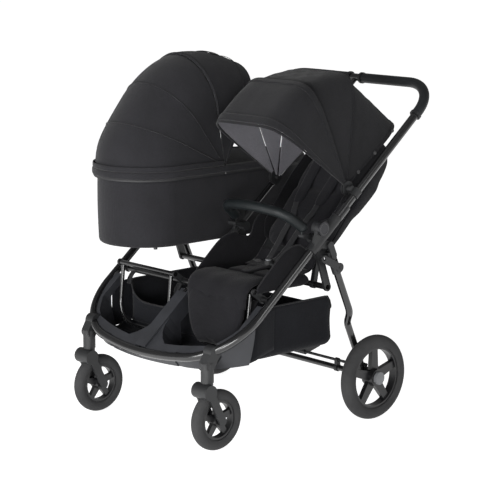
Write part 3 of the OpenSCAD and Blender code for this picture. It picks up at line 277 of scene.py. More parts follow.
PLASTIC = plastic_material("plastic_dark", (0.013, 0.0135, 0.0145), 0.5)
TRAY = plastic_material("tray_plastic", (0.026, 0.0272, 0.0315), 0.5)
EDGE = plastic_material("cot_edge", (0.010, 0.010, 0.011), 0.6)
GLOSS_PLASTIC = plastic_material("sleeve_gloss", (0.012, 0.012, 0.013), 0.2, 500.0, 0.03)
RIM = plastic_material("rim_plastic", (0.010, 0.010, 0.011), 0.36, 700.0, 0.05)
CAP = plastic_material("cap_grey", (0.20, 0.205, 0.215), 0.38, 700.0, 0.05)
SNAP = plastic_material("snap_metal", (0.05, 0.05, 0.052), 0.3, 600.0, 0.02)
PAINT = paint_material("frame_gloss", (0.0055, 0.0055, 0.006), 0.2)
PAINT_SATIN = paint_material("tube_black", (0.007, 0.007, 0.0075), 0.32)
LEATHER = leather_material("leatherette", (0.0056, 0.0074, 0.0082), 0.5)
GRIP_LEATHER = leather_material("leatherette_grip", (0.0135, 0.0148, 0.0165), 0.46)
STEEL = steel_material("pin_steel", (0.05, 0.05, 0.054), 0.36)

BY_NODE = {
    PAINT: ["front_frame_tube", "push_bar_tube", "rear_legs", "left_calf_frame", "right_calf_frame",
            "centre_tube", "centre_upper_tube"],
    PAINT_SATIN: ["seat_cross_tubes", "rear_axle_bar"],
    STEEL: ["pivot_pins"],
    PLASTIC: ["lower_hubs", "upper_hubs", "castor_housings", "calf_hinges", "cot_adaptors", "canopy_brackets",
              "leg_fittings", "fold_catch", "brake_pedal", "left_castor_fork", "right_castor_fork",
              "canopy_mid_discs", "canopy_front_discs", "grip_collars", "cot_fittings", "backrest_board",
              "buckle"],
    TRAY: ["footrest_tray"],
    EDGE: ["cot_rim"],
    GLOSS_PLASTIC: ["fold_sleeves"],
    LEATHER: ["bumper_bar"],
    GRIP_LEATHER: ["grips"],
    RIM: ["left_front_rim", "right_front_rim", "left_rear_rim", "right_rear_rim"],
    CAP: ["rear_hub_caps", "buckle_button", "bumper_button"],
}

# For the tyres of each axle: the wheels' centre, then radius, half width and number of tread blocks
FRONT_TYRE = ((276.5, 0, 90), 90, 19, 46)
REAR_TYRE = ((359, 566, 131), 131, 22, 60)


def dress(obj, mat):
    obj.data.materials.clear()
    obj.data.materials.append(mat)


for mat, names in BY_NODE.items():
    for name in names:
        dress(nodes[name], mat)
for axle, (at, radius, half_w, lugs) in (("front", FRONT_TYRE), ("rear", REAR_TYRE)):
    for side, tag in SIDES:
        name = tag + "_" + axle + "_tyre"
        centre = place(side * at[0], at[1], at[2])
        dress(nodes[name], tyre_material("tyre_rubber_" + name, centre, radius * MM, half_w * MM, lugs))

# Mesh helpers


def make(name, verts, faces, mats, body, slot, face_mats=None):
    me = bpy.data.meshes.new(name)
    me.from_pydata([tuple(v) for v in verts], [], faces)
    me.validate()
    ob = bpy.data.objects.new(name, me)
    bpy.context.scene.collection.objects.link(ob)
    for m in mats:
        me.materials.append(m)
    if face_mats is not None:
        for p, k in zip(me.polygons, face_mats):
            p.material_index = k
    for p in me.polygons:
        p.use_smooth = True
    if body:
        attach(ob, body)
    return ob


def grid_faces(rows, cols, offset=0, wrap=False, flip=False):
    out = []
    for j in range(rows - 1):
        for i in range(cols if wrap else cols - 1):
            a = offset + j * cols + i
            b = offset + j * cols + (i + 1) % cols
            f = (a, b, b + cols, a + cols)
            out.append(f[::-1] if flip else f)
    return out


def shell(name, outer, inner, mats, body, slot="cloth_black", wrap=False):
    """A sheet with two faces, from two grids of points; mats is one finish, or a list of outer and inner."""
    mats = mats if isinstance(mats, list) else [mats, mats]
    outer = np.asarray(outer, float)
    rows, cols = outer.shape[:2]
    k = rows * cols
    verts = np.vstack([places(outer).reshape(-1, 3), places(inner).reshape(-1, 3)])
    faces = grid_faces(rows, cols, 0, wrap)
    ids = [0] * len(faces)
    back = grid_faces(rows, cols, k, wrap, True)
    faces += back
    ids += [1] * len(back)
    loop = []
    top = (rows - 1) * cols
    for i in range(cols if wrap else cols - 1):
        loop.append((i, (i + 1) % cols))
        loop.append((top + (i + 1) % cols, top + i))
    if not wrap:
        for j in range(rows - 1):
            loop.append(((j + 1) * cols, j * cols))
            loop.append((j * cols + cols - 1, (j + 1) * cols + cols - 1))
    for a, b in loop:
        faces.append((b, a, k + a, k + b))
        ids.append(0)
    return make(name, verts, faces, mats, body, slot, ids)


def two_faces(vs, us, point):
    """Two grids, from a function that gives the outer and the inner point at v and u."""
    grid = np.array([[point(v, u) for u in us] for v in vs])
    return grid[:, :, 0], grid[:, :, 1]


def capped_rings(rows, sides):
    """Faces of a run of rings, closed at both ends."""
    ends = [tuple(range(sides))[::-1], tuple(range((rows - 1) * sides, rows * sides))]
    return grid_faces(rows, sides, 0, True) + ends


def tube(name, path, radius, mat, body, slot, closed=False, sides=10, flat=1.0):
    """A round or flattened cord along points."""
    p = np.asarray(path, float)
    n = len(p)
    verts = []
    tangent = np.roll(p, -1, 0) - np.roll(p, 1, 0) if closed else np.gradient(p, axis=0)
    for q, d in zip(p, tangent):
        d = d / (np.linalg.norm(d) + 1e-9)
        side = np.cross(d, (0.0, 0.0, 1.0))
        if np.linalg.norm(side) < 1e-3:
            side = np.cross(d, (1.0, 0.0, 0.0))
        side /= np.linalg.norm(side)
        lift = np.cross(side, d)
        for i in range(sides):
            a = 2 * math.pi * i / sides
            verts.append(q + radius * math.cos(a) * side + radius * flat * math.sin(a) * lift)
    if closed:
        top = (n - 1) * sides
        faces = grid_faces(n, sides, 0, True)
        for i in range(sides):
            j = (i + 1) % sides
            faces.append((top + i, top + j, j, i))
    else:
        faces = capped_rings(n, sides)
    return make(name, places(verts), faces, [mat], body, slot)


def resample(points, count):
    p = np.asarray(points, float)
    d = np.r_[0, np.cumsum(np.linalg.norm(np.diff(p, axis=0), axis=1))]
    u = np.linspace(0, d[-1], count)
    return np.stack([np.interp(u, d, p[:, k]) for k in range(p.shape[1])], 1)


def smooth_path(points, count):
    """A Catmull-Rom curve through points."""
    p = np.asarray(points, float)
    q = np.vstack([2 * p[0] - p[1], p, 2 * p[-1] - p[-2]])
    out = []
    for i in range(1, len(q) - 2):
        a, b, c, d = q[i - 1:i + 3]
        for u in np.linspace(0, 1, 16, endpoint=False):
            square = (2 * a - 5 * b + 4 * c - d) * u * u
            cube = (3 * b - a - 3 * c + d) * u ** 3
            out.append(0.5 * (2 * b + (c - a) * u + square + cube))
    out.append(p[-1])
    return resample(out, count)


def ripple(points, amount, size, seed):
    """Heights of small smooth waves in cloth, one for each point."""
    g = np.random.default_rng(seed)
    waves = [(g.normal(size=3) / size, g.uniform(0, 6.28)) for _ in range(6)]
    flat = points.reshape(-1, 3)
    w = np.zeros(len(flat))
    for k, ph in waves:
        w += np.sin(flat @ k + ph)
    return (amount * w / len(waves)).reshape(points.shape[:-1])


def stretched(ob):
    """Works out roughly the area of one side of a sheet; the value is not used."""
    area = sum(p.area for p in ob.data.polygons) / 2


VOXEL = 0.005
PRESSURE = 4.0
MOST_SWELL = 0.006
LAST_FRAME = 20


def simulate(ob):
    """Swells a pad as cloth under pressure; no point moves further than MOST_SWELL, in metres."""
    r = ob.modifiers.new("remesh", "REMESH")
    r.mode = "VOXEL"
    r.voxel_size = VOXEL
    bpy.context.view_layer.update()
    deps = bpy.context.evaluated_depsgraph_get()
    base = bpy.data.meshes.new_from_object(ob.evaluated_get(deps))
    ob.modifiers.clear()
    mats = list(ob.data.materials)
    ob.data = base
    if not base.materials:
        for m in mats:
            base.materials.append(m)
    before = np.array([v.co for v in base.vertices])
    c = ob.modifiers.new("cloth", "CLOTH")
    c.settings.use_pressure = True
    c.settings.uniform_pressure_force = PRESSURE
    c.settings.effector_weights.gravity = 0.0
    c.settings.quality = 4
    c.point_cache.frame_end = LAST_FRAME + 2
    sc = bpy.context.scene
    for f in range(1, LAST_FRAME + 1):
        sc.frame_set(f)
    deps = bpy.context.evaluated_depsgraph_get()
    done = bpy.data.meshes.new_from_object(ob.evaluated_get(deps))
    shift = np.array([v.co for v in done.vertices]) - before
    far = np.linalg.norm(shift, axis=1)
    scale = np.minimum(1.0, MOST_SWELL / np.maximum(far, 1e-9))
    ob.modifiers.clear()
    base.vertices.foreach_set("co", (before + shift * scale[:, None]).ravel())
    base.update()
    for p in base.polygons:
        p.use_smooth = True
    sc.frame_set(1)


# Fans: panels of cloth between bows that turn about one pin. An arch gives the line of a bow, as x from
# the middle and radius from the pin. Swell is how far the cloth stands out at an angle, and foot is the
# radius where a bow starts

Fan = namedtuple("Fan", "pin middle radius arch foot wrinkle swell")
Finish = namedtuple("Finish", "cloth outer inner middle_row")
SHEET_COLS = 91
BOW_COLS = 90


def fan_points(fan, x, r, angle):
    y, z = on_circle(r, angle)
    return np.stack(np.broadcast_arrays(fan.middle + x, fan.pin[0] + y, fan.pin[1] + z), -1)


def fan_sheet(fan, inset, angles, dip, creases, seed, swell):
    """A grid of points that dips between its two bows, with creases on its crown."""
    arch = fan.arch(inset, SHEET_COLS, fan.foot)
    crown = np.clip(arch[:, 1] / fan.radius, 0, 1)
    slack = np.sin(np.linspace(0, math.pi, len(angles)))
    out = []
    for a, loose in zip(angles, slack):
        r = arch[:, 1] * swell(a) - dip * loose * crown ** 2
        out.append(fan_points(fan, arch[:, 0], r, a))
    out = np.array(out)
    w = ripple(out, creases, fan.wrinkle, seed)
    for k, a in enumerate(angles):
        out[k] += (w[k] * crown * slack[k])[:, None] * np.array([0.0, *on_circle(1.0, a)])
    return out


def fan_panel(fan, finish, name, inset, span, body, replaced, dip, creases, seed, swell=None):
    """A panel of cloth; span is its first and last angle and its number of rows."""
    angles = np.linspace(*span)
    outer, inner = (fan_sheet(fan, inset + g, angles, dip, creases, seed, swell or fan.swell)
                    for g in (finish.outer, finish.inner))
    ob = shell(name, outer, inner, [finish.cloth, LINING], body)
    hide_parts(*replaced)
    stretched(ob)
    return ob


def bow(fan, name, inset, angle, radius, body, mat, swell=None, start=None):
    """A round seam or piping along a bow."""
    arch = fan.arch(inset, BOW_COLS, start or fan.foot)
    path = fan_points(fan, arch[:, 0], arch[:, 1] * (swell or fan.swell)(angle), angle)
    return tube(name, path, radius, mat, body, "cloth_black")


# Canopy of the seat

CANOPY_HALF = 157.5
CANOPY_R = 349.0
CANOPY_POWER = 6.0
BRIM_ANGLE = 144.3
BRIM_INSET = 2.6
BRIM_ROUND = 2.4
BRIM_SPREAD = 0.014
BRIM_SIDES = 12


def canopy_arch(inset, count, start):
    e = 2 / CANOPY_POWER
    low = np.arcsin((np.linspace(start, 0.7 * CANOPY_R, 120) / CANOPY_R) ** (1 / e))
    t = np.concatenate([low, np.linspace(low[-1], math.pi - low[-1], 361)[1:-1], math.pi - low[::-1]])
    r = (CANOPY_R - inset) * np.sin(t) ** e
    x = (CANOPY_HALF - inset) * np.sign(np.cos(t)) * np.abs(np.cos(t)) ** e
    return resample(np.stack([x, r], 1), count)


def straight(a, a0, q, a1):
    """Radius of a straight line seen from the pin: q at angle a0, 1 at angle a1."""
    a, a0, a1 = (math.radians(v) for v in (a, a0, a1))
    return q * math.sin(a1 - a0) / (math.sin(a1 - a) + q * math.sin(a - a0))


def round_swell(a):
    return 1.0


def back_swell(a):
    return 0.12 + 0.88 * straight(a, 36.0, 0.907, 83.0)


CANOPY = Fan(plane_point(170, 19), SEAT_X, CANOPY_R, canopy_arch, 7.0, 17.0, round_swell)
CANOPY_FINISH = Finish(CLOTH, 0.6, 2.6, 13)
fan_panel(CANOPY, CANOPY_FINISH, "canopy_front_cover", 0, (113, 143.4, 27), "canopy_front",
          ["canopy_front_panel"], 5, 1.0, 21)
fan_panel(CANOPY, CANOPY_FINISH, "canopy_mid_cover", 7, (82, 114, 27), "canopy_mid",
          ["canopy_mid_panel"], 5, 2.6, 22)
fan_panel(CANOPY, CANOPY_FINISH, "canopy_rear_cover", 14, (34.0, 83, 27), "handle_frame",
          ["canopy_rear_panel"], 3, 2.6, 23, back_swell)


def canopy_band(name, inset, a0, a1, proud, body, swell=round_swell):
    """A sewn band over a bow or along an edge of the canopy, proud of the panel under it."""
    outer = []
    inner = []
    for w in np.linspace(-1, 1, 9):
        a = (a0 + a1) / 2 + w * (a1 - a0) / 2
        for rows, g in ((outer, inset - proud * rounded(w, 4)), (inner, inset + 0.9)):
            arch = canopy_arch(g, SHEET_COLS, CANOPY.foot)
            rows.append(fan_points(CANOPY, arch[:, 0], arch[:, 1] * swell(a), a))
    shell(name, outer, inner, CLOTH, body)


def brim():
    """Rolled brim of the canopy, a padded band round its front edge."""
    arch = canopy_arch(0, BOW_COLS, CANOPY.foot)
    verts = []
    for x, r in arch:
        for i in range(BRIM_SIDES):
            a = 2 * math.pi * i / BRIM_SIDES
            inset = BRIM_INSET - BRIM_ROUND * math.cos(a)
            angle = BRIM_ANGLE + math.degrees(BRIM_SPREAD * math.sin(a) * min(1.0, r / 120.0))
            verts.append(fan_points(CANOPY, x * (1 - inset / CANOPY_HALF), r - inset, angle))
    faces = capped_rings(len(arch), BRIM_SIDES)
    ob = make("canopy_brim", places(verts), faces, [CLOTH], "canopy_front", "cloth_black")
    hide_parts("canopy_brim_bow")


brim()
canopy_band("canopy_rib", 0.3, 112.8, 116.6, 1.9, "canopy_front")
canopy_band("canopy_hem", 0.3, 139.3, 143.3, 0.9, "canopy_front")
bow(CANOPY, "canopy_rib_piping_a", 0, 112.9, 1.1, "canopy_front", CLOTH)
bow(CANOPY, "canopy_rib_piping_b", 0, 116.5, 1.1, "canopy_front", CLOTH)
bow(CANOPY, "canopy_hem_stitch", -0.3, 139.9, 0.7, "canopy_front", THREAD)
bow(CANOPY, "canopy_seam_mid", 7, 82.6, 1.7, "canopy_mid", CLOTH)
canopy_band("canopy_back_hem", 14.3, 34.1, 37.3, 0.9, "handle_frame", back_swell)
bow(CANOPY, "canopy_seam_rear", 14, 34.4, 1.5, "handle_frame", CLOTH, back_swell)

# Hood of the carrycot

COT_X = -173.0
COT_R = 159.0
HOOD_R = 339.0
HOOD_SIDE = HOOD_R - COT_R
HOOD_SWELL = ((60, 99, 106, 113, 126, 140, 150, 157, 164, 171, 181),
              (1.0, 1.0, 0.993, 0.975, 0.944, 0.922, 0.932, 0.953, 0.982, 0.999, 1.0))
HANDLE_ANGLE = 79
HANDLE_HALF = 46.0
HANDLE_WIDE = 17.0


def hood_arch(inset, count, start):
    w = COT_R - inset
    side = [(w, r) for r in np.linspace(start, HOOD_SIDE, 40)]
    cap = [(w * math.cos(a), HOOD_SIDE + w * math.sin(a)) for a in np.linspace(0, math.pi, 181)]
    other = [(-w, r) for r in np.linspace(HOOD_SIDE, start, 40)]
    return resample(side + cap[1:-1] + other, count)


def hood_swell(a):
    near = np.linspace(a - 4, a + 4, 9)
    return float(np.interp(near, *HOOD_SWELL).mean())


HOOD = Fan((296.0, 770.8), COT_X, HOOD_R, hood_arch, 6, 24.0, hood_swell)
HOOD_FINISH = Finish(CLOTH_COT, 0.5, 2.2, 11)


def hood_point(angle):
    """A point in metres on the crown of the hood."""
    return tuple(places(fan_points(HOOD, 0.0, HOOD_R, angle)))


def gather(ob):
    """Bakes the placement of a piece of the hood's fabric into its mesh; the two crown points it works out
    are not used.
    """
    hood_point(104.0)
    hood_point(166.0)
    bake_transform(ob)


gather(fan_panel(HOOD, HOOD_FINISH, "cot_hood_fabric", 4.5, (99, 179.8, 45), None,
                 ["cot_hood_front", "cot_hood_mid"], 0, 1.1, 31))
fan_panel(HOOD, HOOD_FINISH, "cot_hood_rear_cover", 0, (60, 100, 23), "cot_hood",
          ["cot_hood_rear"], 3, 1.1, 31)
bow(HOOD, "cot_hood_hem", 1.4, 61.0, 2.2, "cot_hood", CLOTH_COT)
bow(HOOD, "cot_hood_brim_seam", 0.2, 68.5, 1.0, "cot_hood", THREAD)
bow(HOOD, "cot_hood_seam_a", 0.4, 98.6, 1.5, "cot_hood", WEBBING, start=44)
gather(bow(HOOD, "cot_hood_seam_b", 4.4, 127.0, 1.7, None, WEBBING, start=32))
gather(bow(HOOD, "cot_hood_seam_c", 4.4, 154.0, 1.7, None, WEBBING, start=32))


def carry_handle():
    """Strap handle sewn on the top of the hood."""
    path = []
    for x in np.linspace(-HANDLE_HALF, HANDLE_HALF, 25):
        lift = 1 - (x / HANDLE_HALF) ** 4 - 2.2
        r = HOOD_SIDE + math.sqrt(COT_R ** 2 - x * x) + lift
        path.append(fan_points(HOOD, x, r, HANDLE_ANGLE))
    path = np.array(path)
    c, s = on_circle(1.0, HANDLE_ANGLE)
    along = np.array([0, -s, c])
    out = np.array([0, c, s])
    top = []
    low = []
    for w in np.linspace(-1, 1, 9):
        edge = 1 - abs(w) ** 4
        top.append(path + along * HANDLE_WIDE * w + out * (0.4 + edge))
        low.append(path + along * HANDLE_WIDE * w - out * (0.4 + 0.4 * edge))
    ob = shell("cot_handle_strap", top, low, WEBBING, "cot_hood", "webbing")
    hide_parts("cot_carry_handle")


carry_handle()

# Tub, rim cover, foot cover and mattress of the carrycot

COT_FRONT = -43.0
COT_LEN = 760.0
COT_MID = COT_FRONT + COT_LEN / 2
HEAD_Y = COT_FRONT + COT_R
FOOT_Y = COT_FRONT + COT_LEN - COT_R
TUB_COLS = 140
TUB_BASE = 540.0
TUB_FLOOR = 546.0
TUB_RIM = 748.0
TUB_WALL = 6.0
TUB_CORNER = 40.0
BAND_COLS = 160
HOOD_END_Y = 292


def stadium(inset, count):
    """Plan of the carrycot drawn in by inset, as points in x and y, anticlockwise."""
    r = COT_R - inset
    a = np.linspace(-math.pi, 0, 121)
    front = np.stack([COT_X + r * np.cos(a), HEAD_Y + r * np.sin(a)], 1)
    b = np.linspace(0, math.pi, 121)
    back = np.stack([COT_X + r * np.cos(b), FOOT_Y + r * np.sin(b)], 1)
    return resample(np.vstack([front, back, front[:1]]), count + 1)[:-1]


def level(inset, z, count):
    return np.column_stack([stadium(inset, count), np.full(count, z)])


def tub():
    levels = [(TUB_BASE, TUB_CORNER), (TUB_BASE, 26.0), (541.5, 18.5), (545.0, 14.2), (552.0, 12.2)]
    for z in np.linspace(570.0, TUB_RIM, 14):
        belly = 1.6 * math.sin(math.pi * (z - 552.0) / 190.0)
        levels.append((z, 12.2 - 1.2 * (z - TUB_BASE) / 202.0 - belly))
    outer = np.array([level(inset, z, TUB_COLS) for z, inset in levels])
    waves = ripple(outer, 0.7, 70.0, 3)
    d = outer - np.array([COT_X, COT_MID, 0.0])
    d[..., 2] = 0
    d /= np.linalg.norm(d, axis=-1, keepdims=True)
    outer += d * waves[..., None] * np.clip((outer[..., 2:3] - 545) / 30, 0, 1)
    inner = [level(inset + (TUB_WALL if z > TUB_FLOOR else 0.0), max(z, TUB_FLOOR), TUB_COLS)
             for z, inset in levels]
    ob = shell("cot_tub_cover", outer, inner, [CLOTH_COT, PALE_LINER], "carrycot", wrap=True)
    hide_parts("cot_tub")
    centre = np.array([COT_X, COT_MID, TUB_BASE])
    edge = level(TUB_CORNER, TUB_BASE, TUB_COLS)
    low = np.array([centre + (edge - centre) * k for k in np.linspace(1.0, 0.02, 10)])
    top = low + np.array([0, 0, TUB_FLOOR - TUB_BASE])
    shell("cot_tub_floor", top, low, [PALE_LINER, CLOTH_COT], "carrycot", wrap=True)


def band(name, inset, z0, z1, proud, mat):
    """A padded band that runs round the carrycot."""
    outer = []
    inner = []
    for u in np.linspace(0, 1, 9):
        z = z0 + (z1 - z0) * u
        outer.append(level(inset - proud * rounded(2 * u - 1, 4), z, BAND_COLS))
        inner.append(level(inset + 0.2, z, BAND_COLS))
    shell(name, outer, inner, mat, "carrycot", wrap=True)


def head_band(name, z0, z1, proud):
    """Zipped edge of the hood, round the head end of the carrycot."""
    outer = []
    inner = []
    for u in np.linspace(0, 1, 9):
        rise = proud * rounded(2 * u - 1, 4)
        for rows, r in ((outer, COT_R + 1.8 + rise), (inner, COT_R + 1.5)):
            pts = [(COT_X - r, y) for y in np.linspace(HOOD_END_Y, HEAD_Y, 20)]
            for a in np.linspace(-math.pi, 0, 61)[1:-1]:
                pts.append((COT_X + r * math.cos(a), HEAD_Y + r * math.sin(a)))
            pts += [(COT_X + r, y) for y in np.linspace(HEAD_Y, HOOD_END_Y, 20)]
            rows.append([(x, y, z0 + (z1 - z0) * u) for x, y in pts])
    shell(name, outer, inner, CLOTH_COT, "carrycot")


def zip_pull(name, x, y):
    path = [(x, y, 768.0), (x, y - 3.0, 762.0), (x, y - 4.5, 752.0), (x, y - 5.0, 744.0)]
    tube(name, smooth_path(path, 14), 2.2, SNAP, "carrycot", "cap_grey", sides=8, flat=0.5)


def foot_cover():
    """Padded cover over the foot end of the carrycot."""
    y0 = 298.0
    r = COT_R - 19.0

    def point(v, u):
        y = y0 + (FOOT_Y + r * 0.995 - y0) * v
        half = r if y < FOOT_Y else math.sqrt(max(0.0, r * r - (y - FOOT_Y) ** 2))
        edge_v = rounded(max(0.0, (y - FOOT_Y) / r), 4) * min(1.0, 0.55 + v * 4)
        edge_u = rounded(u, 4)
        wrinkle = 0.8 * math.sin(y / 34.0 + 1.2 * math.sin(u * 4)) * edge_u
        full = edge_u * edge_v
        x = COT_X + u * half
        return (x, y, 765.0 + 8.0 * full + wrinkle), (x, y, 763.2 + 6.2 * full + wrinkle)

    faces = two_faces(np.linspace(0, 1, 33), np.linspace(-1, 1, 33), point)
    ob = shell("cot_foot_cover", *faces, CLOTH_COT, "carrycot")
    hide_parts("cot_apron")
    stretched(ob)


tub()
band("cot_rim_band", -0.2, 748.6, 769.8, 5.0, CLOTH_COT)
band("cot_rim_seam", -0.4, 746.4, 749.4, 2.4, THREAD)
head_band("cot_hood_edge", 770.2, 786.0, 1.6)
zip_pull("cot_zip_pull_right", COT_X + COT_R + 2.6, 300.0)
zip_pull("cot_zip_pull_left", COT_X - COT_R - 2.6, 300.0)
foot_cover()

# Cushions

CHANNEL_DIP = 0.17
DRAWN_IN = 0.985
PINCH = 0.03
PAD_COLS = 41


def cushion_faces(w, l, t, rows, channels, corner, taper):
    """Points of a cushion's top and base, in its own frame, with rounded corners and sewn channels."""
    def point(v, u):
        ru = rounded(u, 6)
        rv = rounded(v, 6)
        x = u * w / 2 * (1 - PINCH * (1 - v * v) * abs(u)) * DRAWN_IN
        y = v * l / 2 * (1 - PINCH * (1 - u * u) * abs(v)) * DRAWN_IN
        cx = max(0.0, abs(x) - (w / 2 - corner))
        cy = max(0.0, abs(y) - (l / 2 - corner))
        if cx > 0 and cy > 0:
            k = max(cx, cy) / math.hypot(cx, cy)
            x = math.copysign(abs(x) - cx + cx * k, x)
            y = math.copysign(abs(y) - cy + cy * k, y)
        h = 0.40 + 0.56 * ru * rv * (1 - 0.12 * (u * u + v * v))
        if channels and abs(v) < 1 - 1 / (channels + 1):
            h -= CHANNEL_DIP * abs(math.cos(math.pi / 2 * (v + 1) * (channels + 1))) ** 14 * ru
        x *= 1 - taper * (max(0.0, v + 0.3) / 1.3) ** 1.5
        return (x, y, t * h), (x, y, t * (0.06 * (1 - ru * rv) + 0.01))

    return two_faces(np.linspace(-1, 1, rows), np.linspace(-1, 1, PAD_COLS), point)


def to_world(points, matrix):
    p = np.asarray(points, float)
    q = np.concatenate([p, np.ones(p.shape[:-1] + (1,))], -1) @ np.array(matrix).T
    return q[..., :3]


def move(x, y, z):
    return Matrix.Translation(Vector((x, y, z)))


def turn(deg, axis):
    return Matrix.Rotation(math.radians(deg), 4, axis)


# Tubes that carry the seat, in y and z, and the frames of the cushions on them
KNEE_TUBE = (150.0, tube_line_z(150.0))
REAR_TUBE = (392.0, 432.0)
BACK_SLOPE = 49
SEAT_SLOPE = math.degrees(math.atan2(REAR_TUBE[1] - KNEE_TUBE[1], REAR_TUBE[0] - KNEE_TUBE[0]))
ON_SEAT = move(SEAT_X, *KNEE_TUBE) @ turn(SEAT_SLOPE, "X") @ move(0, 103, 9.4)
ON_BACK = move(SEAT_X, *REAR_TUBE) @ turn(BACK_SLOPE, "X")
BACK_PAD = ON_BACK @ move(0, 279, 49.15)
CALF_PAD = move(SEAT_X, 118, 452) @ turn(-96, "X") @ turn(180, "Y") @ move(0, 95, 10.4)
COT_PAD = move(COT_X, COT_MID, 571.0)


def pad(name, matrix, size, channels, body, replaced, corner=22.0, mat=CLOTH_SEAT, taper=0.0):
    rows = 25 + 12 * (channels + 1)
    faces = cushion_faces(*size, rows, channels, corner, taper)
    ob = shell(name, *(to_world(f, matrix) for f in faces), mat, body)
    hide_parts(replaced)
    simulate(ob)
    m = ob.modifiers.new("subdivision", "SUBSURF")
    m.levels = 1
    m.render_levels = 1


pad("seat_cushion", ON_SEAT, (252, 238, 38), 2, "frame", "seat_pad")
pad("back_cushion", BACK_PAD, (244, 432, 38), 3, "backrest", "backrest_pad", 55.0)
pad("calf_cushion", CALF_PAD, (262, 178, 23), 0, "right_calf", "calf_rest_pad", 34.0, taper=0.38)
pad("cot_mattress_pad", COT_PAD, (272, 712, 38), 0, "carrycot", "cot_mattress", 134.0, PALE_LINER)

# Soft sides, turns and back of the seat. Edges are points in y and z

SIDE_HIGH = ((124, 464), (176, 512), (232, 557), (284, 571), (320, 555), (354, 556), (376, 600), (430, 637),
             (475, 638))
INNER_LOW = ((124, 448), (200, 448), (300, 448), (402, 448))
OUTER_LOW = ((124, 448), (200, 448), (240, 456), (300, 504), (360, 553), (420, 602), (462, 632))
KNEE_TURN = ((186, 481.5), (160, 483), (135, 482), (112, 475.5), (95, 462), (87, 443), (84.5, 424),
             (83.5, 404))
SEAT_TURN = ((318, 474), (338, 475.5), (354, 480), (366, 489), (376, 501), (387, 513))
SIDE_COLS = 45
CLOTH_THICK = 3.0


def side_cloth(name, x, sign, low):
    """Soft side of the seat, from the knee back to the backrest, under the bumper bar's arm."""
    edge = smooth_path(SIDE_HIGH, SIDE_COLS)
    rows = []
    inner = []
    for v in np.linspace(0, 1, 19):
        p = resample(low, SIDE_COLS) * (1 - v) + edge * v
        loose = math.sin(math.pi * v)
        puff = 1.2 * loose
        wob = [0.9 * math.sin(q[0] / 23.0 + 3 * v) * loose for q in p]
        rows.append([(x + sign * (1.4 + puff) + w, *q) for q, w in zip(p, wob)])
        inner.append([(x - sign * (1.2 - 0.2 * puff) + w, *q) for q, w in zip(p, wob)])
    ob = shell(name, rows, inner, CLOTH_SEAT, "frame")
    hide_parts("seat_pad")
    stretched(ob)
    tube(name + "_binding", rows[-1], 2.0, WEBBING, "frame", "webbing", sides=8)


def turned_cloth(name, points, count, facing, half, bulge, waves, drop):
    """A sheet that follows a path round a turn, with waves and, at its sides, a drop."""
    path = smooth_path(points, count)
    d = np.gradient(path, axis=0)
    d /= np.linalg.norm(d, axis=1, keepdims=True)
    high, across, along = waves
    outer = []
    inner = []
    for u, (y, z), (dy, dz) in zip(np.linspace(0, 1, count), path, d):
        normal = facing * np.array([0.0, dz, -dy])
        loose = math.sin(math.pi * u)
        row = []
        for w in np.linspace(-1, 1, 41):
            edge = max(0.0, (abs(w) - 0.86) / 0.14)
            lift = high * math.sin(w * across + along * u) * loose - drop * edge ** 2
            row.append(np.array([SEAT_X + w * (half + bulge * loose), y, z]) + normal * lift)
        outer.append(np.array(row) + normal * CLOTH_THICK / 2)
        inner.append(np.array(row) - normal * CLOTH_THICK / 2)
    return shell(name, outer, inner, CLOTH_SEAT, None)


def knee_cover():
    """The seat's fabric where it turns over the knee and down on to the calf rest."""
    ob = turned_cloth("knee_cover", KNEE_TURN, 40, 1, 126.0, 4.0, (0.9, 9.0, 5.0), 9.0)
    stretched(ob)
    place(SEAT_X, 150, 480)
    place(SEAT_X, 88, 432)
    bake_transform(ob)


def seat_fold():
    """The seat's fabric where it turns up from the cushion on to the backrest."""
    ob = turned_cloth("seat_fold", SEAT_TURN, 34, -1, 122.0, 0.0, (1.2, 7.0, 6.0), 0.0)
    stretched(ob)
    place(SEAT_X, 335, 475)
    place(SEAT_X, 384, 510)
    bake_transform(ob)


def back_point(x, s, n):
    """A point x from the seat's middle, s up the backrest and n in front of its hinge plane."""
    return tuple(to_world(np.array([x, s, n]), ON_BACK))


BAG_START = 60.0
BAG_LEN = 438.0
BAG_FRONT = 48.6
BAG_S = np.linspace(60, 498, 60)
BAG_DEPTH = np.interp(BAG_S, (60, 130, 208, 254, 354, 410, 450, 483, 498),
                      (8, 18, 30, 35, 53, 56, 43, 29, 20))
BAG_DEPTH = np.convolve(np.pad(BAG_DEPTH, 4, "edge"), np.ones(9) / 9, "valid")
BAG_HALF = ((60, 225, 255, 352, 380), (133.0, 133.0, 143.0, 143.0, 134.0))
WING_HEIGHT = ((96, 130, 300, 420, 476), (62, 96, 100, 86, 66))
WING_BASE = 50.0


def back_cover():
    """Fabric over the back of the seat, a soft bag behind the board."""
    def point(v, u):
        s = BAG_START + BAG_LEN * v
        half = float(np.interp(s, *BAG_HALF)) - 48.0 * max(0.0, (v - 0.86) / 0.14) ** 2.2
        depth = float(np.interp(s, BAG_S, BAG_DEPTH)) + 1.3 * math.sin(s / 26.0 + 2.0 * u)
        full = rounded(u, 40) * rounded(2 * v - 1, 10)
        return back_point(u * half, s, 46.5 - depth * full), back_point(u * half, s, BAG_FRONT)

    faces = two_faces(np.linspace(0, 1, 45), np.linspace(-1, 1, 45), point)
    ob = shell("back_cover", *faces, CLOTH_SEAT, "backrest")


